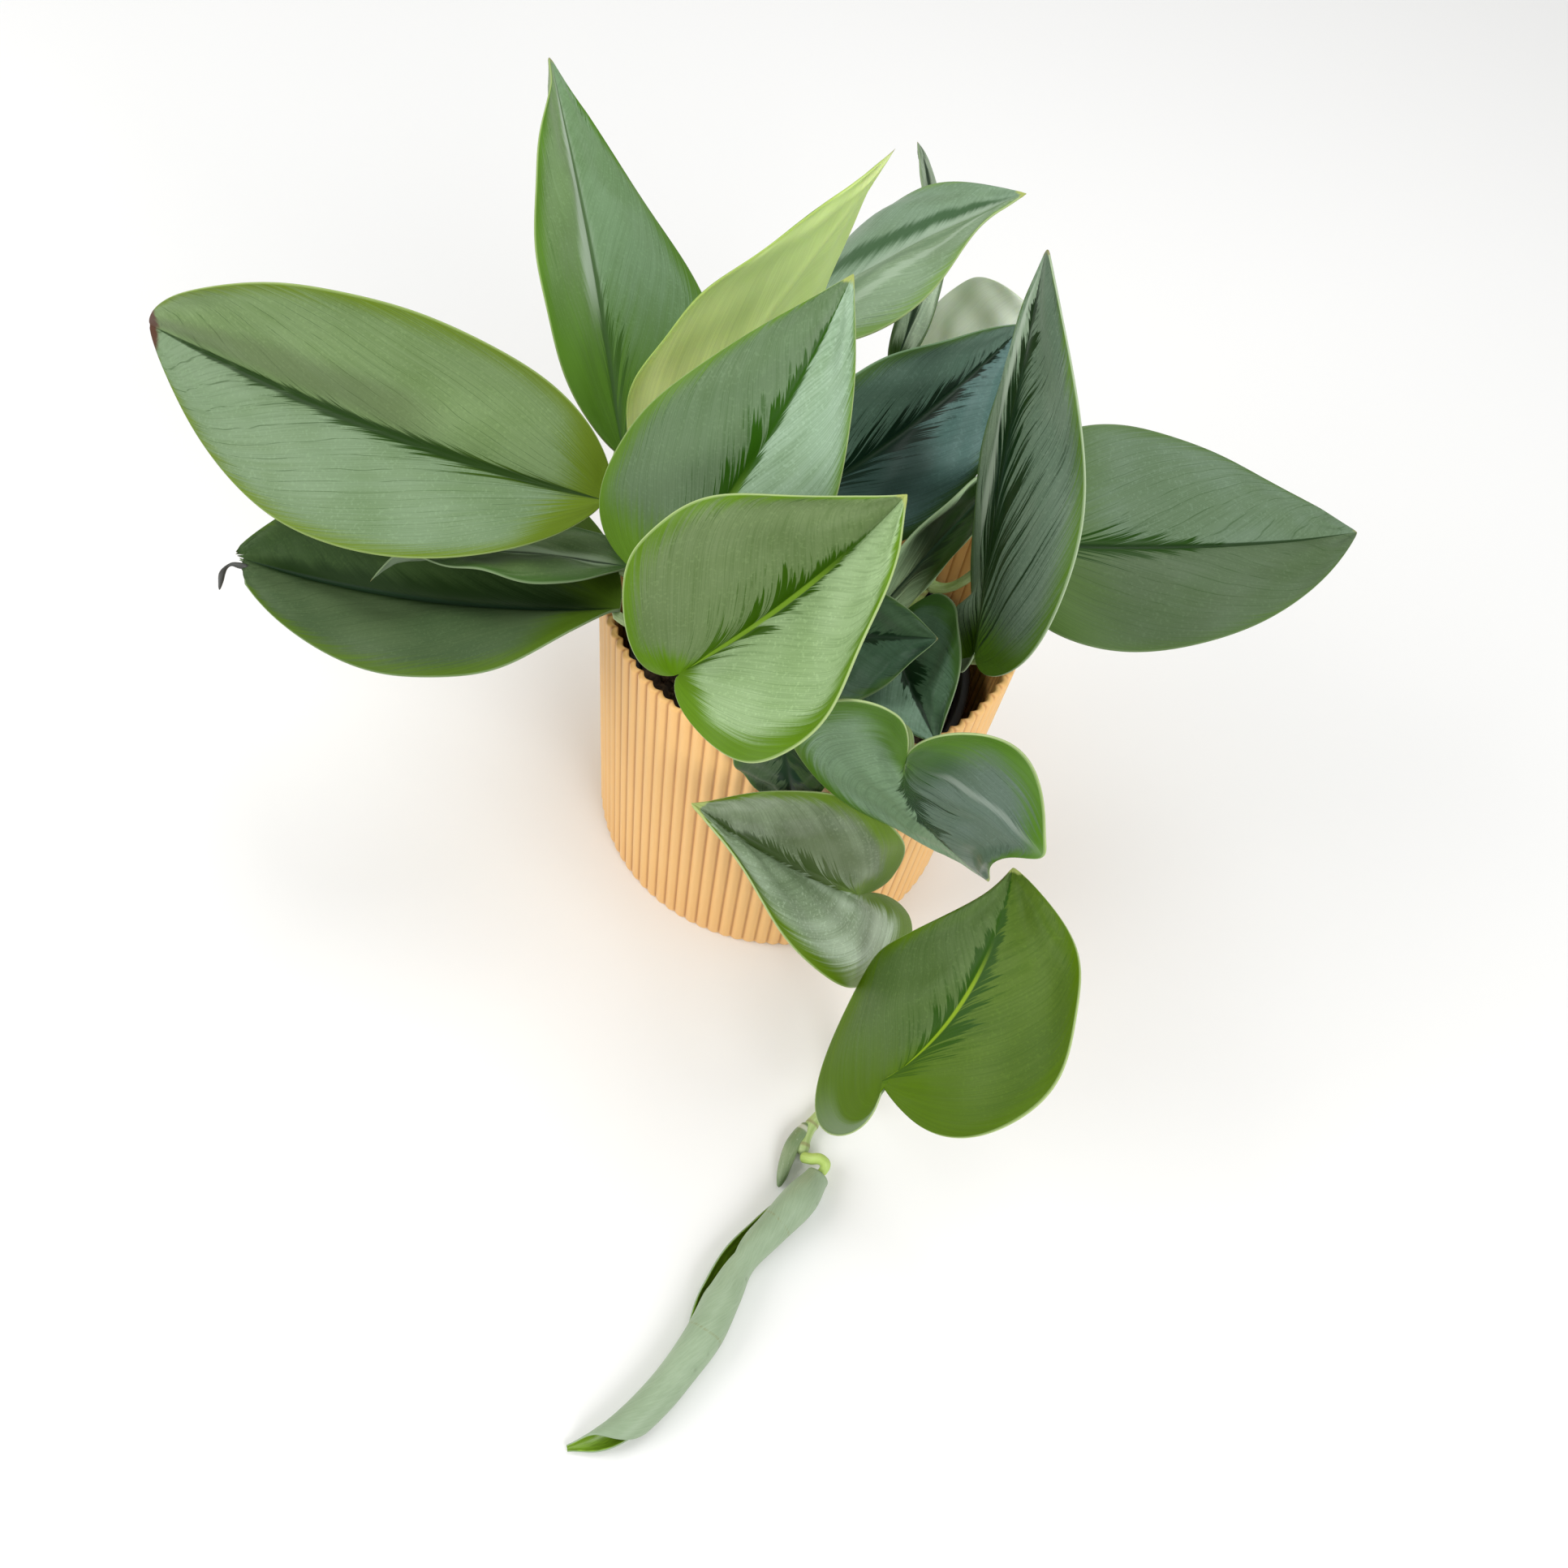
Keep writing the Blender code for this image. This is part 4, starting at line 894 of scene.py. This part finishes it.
def stand(thing, axes, place):
    # links the camera or lamp with its three axes and its place given in millimetres
    bpy.context.scene.collection.objects.link(thing)
    rows = np.column_stack([*axes, np.array(place, float) * mm])
    thing.matrix_world = Matrix([*rows.tolist(), [0, 0, 0, 1]])


def addCamera():
    # looks down and aside by the view's angles, rolled about its own line of sight
    down, yaw, roll = (math.radians(view[key]) for key in ("down", "yaw", "roll"))
    forward = np.array([math.sin(yaw) * math.cos(down), math.cos(yaw) * math.cos(down), -math.sin(down)])
    right = unit(np.cross(forward, [0, 0, 1]))
    up = np.cross(right, forward)
    turned = math.cos(roll) * right + math.sin(roll) * up
    top = math.cos(roll) * up - math.sin(roll) * right
    camera = bpy.data.objects.new("camera", bpy.data.cameras.new("camera"))
    stand(camera, (turned, top, -forward), view["place"])
    camera.data.sensor_width = view["sensor"]
    camera.data.lens = view["sensor"] * view["focal"]
    camera.data.clip_start = 0.01
    bpy.context.scene.camera = camera


def addLamps():
    # round lamps that face the plant, and a white world
    for n, (place, size, power) in enumerate(view["lamps"]):
        lamp = bpy.data.objects.new(f"lamp{n}", bpy.data.lights.new(f"lamp{n}", "AREA"))
        lamp.data.shape = "DISK"
        lamp.data.size = size * mm
        lamp.data.energy = power
        away = unit(np.array(place, float) - np.array([0, 0, 120]))
        side = unit(np.cross([0, 1, 0], away))
        stand(lamp, (side, np.cross(away, side), away), place)
    world = bpy.data.worlds.new("studio")
    bpy.context.scene.world = world
    world.use_nodes = True
    world.node_tree.nodes["Background"].inputs["Color"].default_value = (1, 1, 1, 1)
    world.node_tree.nodes["Background"].inputs["Strength"].default_value = view["world"]
    bpy.context.scene.view_settings.view_transform = "Standard"


def addFloor():
    # one wide square, far past the view
    paint = Paint("floorPaint")
    paint.give(Base_Color=(*view["floor"], 1.0), Roughness=0.8)
    points = view["floorReach"] * np.array([(-1, -1, 0), (1, -1, 0), (1, 1, 0), (-1, 1, 0)])
    addPiece("floor", points, np.array([[0, 1, 2, 3]]), paint.material)


addCamera()
addLamps()
addFloor()

print("cachepot")
pot = {
    "height": 127.0, "baseRadius": 66.0, "rimRadius": 70.0, "wall": 2.2, "floor": 3.0,
    "footChamfer": 1.5, "ribs": 90, "ribDepth": 1.1, "pointsPerRib": 14, "wallRows": 16,
    "colour": (0.860, 0.500, 0.175), "grooveShade": (0.400, 0.140, 0.022), "rough": 0.42,
}


def addTurned(name, profile, columns, paint, ribs=0, ribDepth=0.0):
    # rings from the middle of the foot, up the outside, over the rim and down to the inner floor;
    # profile rows are radius, height and share of ribbing; a rib is a half round, so the radius
    # there is less by ribDepth (1 - |cos|)
    angle = np.arange(columns) * 2 * np.pi / columns
    groove = 1 - np.abs(np.cos(angle * ribs / 2)) if ribs else np.zeros(columns)
    radius, height, share = np.array(profile, float).T[:, :, None]
    reach = np.maximum(radius - ribDepth * (share * groove + (1 - share) * (ribs > 0)), 0.0)
    points = np.stack([reach * np.cos(angle), reach * np.sin(angle), height + 0 * reach], -1)
    place = np.stack([share * groove, height + 0 * reach, 0 * reach], -1)
    rows = len(profile)
    return addPiece(name, points, loopFaces(rows, columns), paint, {"turnedPlace": place},
                    capLoops(rows, columns))


def arcProfile(centre, radius, start, end, count, share):
    # profile rows on an arc about the centre, from one angle to another in degrees
    angle = np.radians(np.linspace(start, end, count))
    return [(centre[0] + radius * math.cos(a), centre[1] + radius * math.sin(a), share) for a in angle]


def addCachepot():
    # a ribbed wall that widens upwards, rounded at the foot, the rim and the inner floor
    paint = Paint("apricotPlastic")
    groove, _, _ = paint.attribute("turnedPlace")
    place = paint.objectPlace()
    cloud = paint.noise(place, 35.0, 3.0)
    grain = paint.noise(place, 1400.0, 2.0)
    # the grooves between the ribs take a darker colour: painted shade in the hollows of the ribbing
    colour = paint.mix(paint.step(groove, 0.45, 1.0) * 0.75, pot["colour"], pot["grooveShade"])
    colour = paint.mix(paint.step(cloud, 0.35, 0.7) * 0.18, colour, (0.92, 0.60, 0.24))
    paint.give(Base_Color=colour, Roughness=(cloud - 0.5) * 0.16 + (grain - 0.5) * 0.1 + pot["rough"])
    paint.bump(grain, 0.12, 0.05 * mm)
    lip = pot["wall"] / 2
    foot, base, rim = pot["footChamfer"], pot["baseRadius"], pot["rimRadius"]
    innerBase = base - pot["wall"]
    profile = [(base - foot - 8, 0, 0), (base - foot, 0, 0)]
    profile += arcProfile((base - foot, foot), foot, -70, -10, 5, 0.7)
    profile += [(base + (rim - base) * s, foot + (pot["height"] - lip - foot) * s, 1)
                for s in np.linspace(0.01, 1, pot["wallRows"])]
    profile += arcProfile((rim - lip, pot["height"] - lip), lip, 15, 165, 9, 1)
    tall = pot["height"] - lip - pot["floor"] - 2
    profile += [(innerBase + (rim - base) * s, pot["floor"] + 2 + tall * s, 1)
                for s in np.linspace(1, 0.01, pot["wallRows"])]
    profile += arcProfile((innerBase - 2, pot["floor"] + 2), 2, -15, -90, 5, 0.5)
    profile += [(innerBase - 10, pot["floor"], 0)]
    piece = addTurned("ribbedCachepot", profile, pot["ribs"] * pot["pointsPerRib"], paint.material,
                      pot["ribs"], pot["ribDepth"])
    settle(piece, "cachepot")


addCachepot()

print("nursery pot and soil")
nursery = {
    "bottom": 3.35, "height": 87.0, "rimRadius": 57.0, "baseRadius": 45.0, "wall": 1.2,
    "lipDrop": 7.0, "lipProud": 1.8, "edge": 0.55, "columns": 192,
    "colour": (0.006, 0.006, 0.007), "dust": (0.020, 0.018, 0.016),
}
soil = {
    "top": 84.0, "depth": 78.0, "rings": 90, "columns": 260, "crumbs": 420, "gap": 0.2,
    "crumb": (1.2, 3.6), "colour": (0.030, 0.018, 0.011), "pale": (0.105, 0.066, 0.036),
}


def addNurseryPot():
    # a plain cone with a lip that stands proud, its edges rounded
    paint = Paint("blackPlastic")
    place = paint.objectPlace()
    dust = paint.noise(place, 60.0, 4.0)
    colour = paint.mix(paint.step(dust, 0.5, 0.75) * 0.5, nursery["colour"], nursery["dust"])
    paint.give(Base_Color=colour, Roughness=dust * 0.25 + 0.35, Specular_IOR_Level=0.25)
    paint.bump(dust, 0.1, 0.1 * mm)
    bottom, top, edge = nursery["bottom"], nursery["bottom"] + nursery["height"], nursery["edge"]
    rim, base, wall = nursery["rimRadius"], nursery["baseRadius"], nursery["wall"]
    lip = rim + nursery["lipProud"]
    profile = [(base - 6, bottom, 0), (base - 1, bottom, 0), (base - 0.3, bottom + 0.3, 0),
               (base, bottom + 1, 0)]
    profile += [(base + (rim - 0.4 - base) * s, bottom + 1 + (top - nursery["lipDrop"] - bottom - 1) * s, 0)
                for s in np.linspace(0.05, 1, 12)]
    profile += [(lip - edge, top - nursery["lipDrop"], 0)]
    profile += arcProfile((lip - edge, top - nursery["lipDrop"] + edge), edge, -80, 0, 5, 0)
    profile += arcProfile((lip - edge, top - edge), edge, 0, 80, 5, 0)
    profile += arcProfile((rim - wall + edge, top - edge), edge, 100, 180, 5, 0)
    profile += [(base - wall + (rim - base) * s, bottom + wall + (nursery["height"] - wall - edge) * s, 0)
                for s in np.linspace(0.98, 0, 12)]
    profile += [(base - wall - 6, bottom + wall, 0)]
    piece = addTurned("nurseryPot", profile, nursery["columns"], paint.material)
    settle(piece, "nursery_pot")


def wander(x, y, random, waves):
    # a bumpy height: a sum of plane waves of random direction and phase
    height = np.zeros_like(x)
    for size, amount in waves:
        for _ in range(5):
            way, phase = random.uniform(0, 2 * np.pi, 2)
            height += amount * np.sin((x * math.cos(way) + y * math.sin(way)) * 2 * np.pi / size + phase)
    return height


def addSoil():
    # a plug that fills the nursery pot, with rings that narrow to the middle of its bumpy top
    paint = Paint("darkSoil")
    place = paint.objectPlace()
    lumps = paint.noise(place, 420.0, 4.0)
    bits = paint.node("ShaderNodeTexVoronoi", {}, {"Vector": place, "Scale": 520.0}, 0)
    colour = paint.mix(paint.step(lumps, 0.42, 0.72), soil["colour"], soil["pale"])
    colour = paint.mix(paint.step(bits, 0.30, 0.05) * 0.4, colour, (0.010, 0.007, 0.005))
    paint.give(Base_Color=colour, Roughness=0.95)
    paint.bump(lumps + bits * 0.5, 0.8, 0.8 * mm)
    random = np.random.default_rng(5)
    low = soil["top"] - soil["depth"]

    def wallRadius(height):
        # the nursery pot's inner radius at a height, less a small gap
        share = (height - nursery["bottom"]) / nursery["height"]
        reach = nursery["baseRadius"] + (nursery["rimRadius"] - nursery["baseRadius"]) * share
        return reach - nursery["wall"] - soil["gap"]

    top = wallRadius(soil["top"])
    angle = np.arange(soil["columns"]) * 2 * np.pi / soil["columns"]
    rings = np.linspace(top - 0.4, 1.0, soil["rings"])
    reach = np.concatenate([[wallRadius(low) - 4, wallRadius(low)], rings])[:, None]
    x, y = reach * np.cos(angle), reach * np.sin(angle)
    bumps = wander(x, y, random, ((31, 0.35), (13, 0.22), (6, 0.14), (3.1, 0.10)))
    edge = np.clip((top - reach) / 5, 0, 1)
    z = soil["top"] - 1.6 + bumps * edge + 0.9 * edge
    z[0], z[1] = low, low
    rows, columns = z.shape
    piece = addPiece("soilFill", np.stack([x, y, z], -1), loopFaces(rows, columns), paint.material, None,
                     capLoops(rows, columns))
    settle(piece, "soil")
    crumbs = addCrumbs(random, top - 4, paint.material)
    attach(crumbs, "root")


def addCrumbs(random, reach, paint):
    # one low-poly ball copied about the surface, each squashed, turned and jittered in its own way
    rows, columns = 5, 7
    polar = np.linspace(0.12, np.pi - 0.12, rows)[:, None]
    angle = np.arange(columns) * 2 * np.pi / columns
    ball = np.stack([np.sin(polar) * np.cos(angle), np.sin(polar) * np.sin(angle),
                     -np.cos(polar) + 0 * angle], -1).reshape(-1, 3)
    count = soil["crumbs"]
    far = reach * np.sqrt(random.uniform(0, 1, count))
    way = random.uniform(0, 2 * np.pi, count)
    raised = soil["top"] - 0.4 + random.uniform(-0.5, 0.6, count)
    centre = np.stack([far * np.cos(way), far * np.sin(way), raised], -1)
    size = random.uniform(*soil["crumb"], count)[:, None] / 2 * random.uniform(0.45, 1.0, (count, 3))
    shape = ball[None] * size[:, None] * random.uniform(0.8, 1.2, (count, len(ball), 1))
    turn, lean = random.uniform(0, 2 * np.pi, (2, count))
    first = np.stack([np.cos(turn), np.sin(turn), 0 * turn], -1)
    second = np.stack([-np.sin(turn) * np.cos(lean), np.cos(turn) * np.cos(lean), np.sin(lean)], -1)
    third = np.cross(first, second)
    points = (shape[..., :1] * first[:, None] + shape[..., 1:2] * second[:, None]
              + shape[..., 2:] * third[:, None])
    points = points + centre[:, None]
    start = np.arange(count)[:, None, None] * len(ball)
    quads = (loopFaces(rows, columns)[None] + start).reshape(-1, 4)
    loop = np.arange(columns)
    ends = [*(start[:, 0] + loop[::-1]).tolist(), *(start[:, 0] + (rows - 1) * columns + loop).tolist()]
    return addPiece("soilCrumbs", points, quads, paint, None, ends)


addNurseryPot()
addSoil()

print("stems and petioles")
stemPaint = barPaint("stemSkin", stemLook)
petiolePaint = barPaint("petioleSkin", petioleLook)
for name, stem in stems.items():
    addStem(name, stem, stemPaint)

print("leaves")
for key, own in leaves.items():
    leaf = {**leafShape, **own}
    piece = addBlade("leaf" + spoken(key), leaf, leafPaint("blade" + spoken(key), leaf))
    settle(piece, "leaf_" + key)
    if len(leaf["wisp"]):
        addWisp("leaf" + spoken(key) + "Wisp", leaf)
    addPetiole(key, leaf, petiolePaint)

print("rolled leaf")
rolled = {
    "route": [(40.8, -149.3), (36, -159), (28.3, -171), (20.5, -183), (17, -195), (13.5, -208),
              (8, -220), (2.4, -230), (-4.7, -239.5), (-11.5, -245), (-20.3, -248.3)],
    "radius": [3.6, 6.0, 5.2, 5.1, 6.0, 5.9, 5.1, 4.9, 4.4, 3.3, 0.5],
    "opening": [-150, -150, -98, -56, -70, -145, -180, -220, -275, -320, -345],
    "turn": [380, 385, 345, 300, 335, 390, 400, 390, 320, 215, 120],
    "thickness": 0.8, "pitch": 1.6, "fullPitch": 3.2, "lift": 1.3, "rows": 160, "columns": 110,
    "rimSteps": 3,
    "outside": (0.305, 0.402, 0.258), "shade": (0.245, 0.332, 0.203), "inside": (0.120, 0.215, 0.012),
    "mark": (0.060, 0.085, 0.040), "crease": (0.230, 0.250, 0.110),
}
rolledStalk = {
    "route": [(35.0, -143.1, 3.3), (37.8, -144.2, 6.2), (40.6, -144.2, 7.6), (42.8, -145.4, 7.4),
              (42.6, -147.2, 6.0), (41.6, -149.0, 4.8), (43.2, -152.0, 5.1)],
    "radius": [1.9, 1.9, 1.9, 1.8, 1.6, 1.4, 1.4],
    "green": (0.330, 0.480, 0.070), "pale": (0.460, 0.620, 0.160), "ring": (0.200, 0.330, 0.050),
}
sheath = {
    "route": [(34.8, -131, 3.4), (33.2, -135, 3.4), (31, -140, 3.4), (29.9, -146, 3.2), (29.4, -151, 2.6),
              (29, -154.5, 1.6)],
    "radius": [1.4, 2.6, 2.6, 2.4, 1.8, 0.6], "torn": 0.12,
    "green": (0.160, 0.235, 0.105), "pale": (0.250, 0.320, 0.175), "ring": (0.600, 0.620, 0.520),
}
shapedLook = {"points": 70, "sides": 28, "smooth": 4, "rounded": 0.05, "markLong": 0.06}


def rolledPaint():
    # grey-green outside with shaded fibres, small marks and two creases; vivid green inside
    paint = Paint("rolledSkin")
    along, around, side = paint.attribute("rollPlace")
    place = paint.objectPlace()
    cloud = paint.noise(place, 45.0, 3.0)
    fibre = paint.noise(paint.vector(along * 30, around * 60, 0.0), 1.0, 3.0)
    colour = paint.mix(paint.step(cloud * 0.6 + fibre * 0.4, 0.35, 0.65), rolled["outside"], rolled["shade"])
    blotch = paint.noise(place, 130.0, 2.0)
    colour = paint.mix(paint.step(blotch, 0.66, 0.78) * 0.55, colour, rolled["mark"])
    for spot in (0.18, 0.50):
        line = paint.step(abs(along - spot + (cloud - 0.5) * 0.02), 0.004, 0.001)
        colour = paint.mix(line * paint.step(fibre, 0.40, 0.60) * 0.6, colour, rolled["crease"])
    inside = paint.step(side, 0.1, -0.3)
    green = paint.mix(paint.step(fibre, 0.35, 0.65), rolled["inside"], tinted(rolled["inside"], 1.7))
    colour = paint.mix(inside, colour, green)
    paint.give(Base_Color=colour, Roughness=(cloud - 0.5) * 0.15 + 0.46 - inside * 0.12)
    paint.bump(fibre + cloud * 2, 0.3, 0.15 * mm)
    return paint.material


def addRolledLeaf():
    # a sheet wound round a curved axis: distance from the axis grows by the pitch each turn, and
    # the sheet has an outer face, a half-round edge, an inner face and an edge
    rows, columns = rolled["rows"], rolled["columns"]
    keys = np.arange(len(rolled["radius"]))
    place = np.linspace(0, keys[-1], rows)
    radius, opening, turn = (np.interp(place, keys, rolled[key]) for key in ("radius", "opening", "turn"))
    radius = smoothed(radius, 6)
    flat = smoothRoute([(x, y, 0) for x, y in rolled["route"]], rows)
    axis = flat + np.outer(radius + rolled["lift"], [0, 0, 1])
    onward = unit(np.gradient(axis, axis=0))
    up = unit(np.array([0, 0, 1]) - onward[:, 2:] * onward)
    side = np.cross(onward, up)
    v, beyond, lift = flatLoop(np.linspace(-1, 1, columns), rolled["rimSteps"])
    half = rolled["thickness"] / 2
    angle = np.radians(opening[:, None] + 180 + turn[:, None] / 2 * v) + beyond * half / radius[:, None] * 0.8
    pitch = rolled["pitch"] * np.minimum(1, radius / rolled["fullPitch"])
    reach = radius[:, None] + (pitch * turn / 720)[:, None] * v + half * lift
    points = (axis[:, None] + (reach * np.cos(angle))[..., None] * up[:, None]
              - (reach * np.sin(angle))[..., None] * side[:, None])
    along = np.linspace(0, 1, rows)[:, None]
    marks = np.stack([along + 0 * reach, v / 2 + 0.5 + 0 * reach, lift + 0 * reach], -1)
    piece = addPiece("leafRolledNew", points, sheetFaces(rows, len(v)), rolledPaint(), {"rollPlace": marks})
    settle(piece, "leaf_rolled_new")


def addShaped(name, node, shape):
    # a bar whose radius runs evenly between the given ones, smoothed, with a mark where it is torn
    count = shapedLook["points"]
    place = np.linspace(0, len(shape["radius"]) - 1, count)
    radii = np.interp(place, np.arange(len(shape["radius"])), shape["radius"])
    radii = roundedEnds(smoothed(radii, shapedLook["smooth"]), shapedLook["rounded"])
    marks = np.exp(-((place / place[-1] - shape.get("torn", -1)) / shapedLook["markLong"])**2)
    skin = barPaint(name + "Skin", shape)
    piece = tube(name, smoothRoute(shape["route"], count), radii, shapedLook["sides"], skin, None, marks)
    settle(piece, node)


addRolledLeaf()
addShaped("petioleRolledNew", "petiole_rolled_new", rolledStalk)
addShaped("vineSheath", "vine_sheath", sheath)
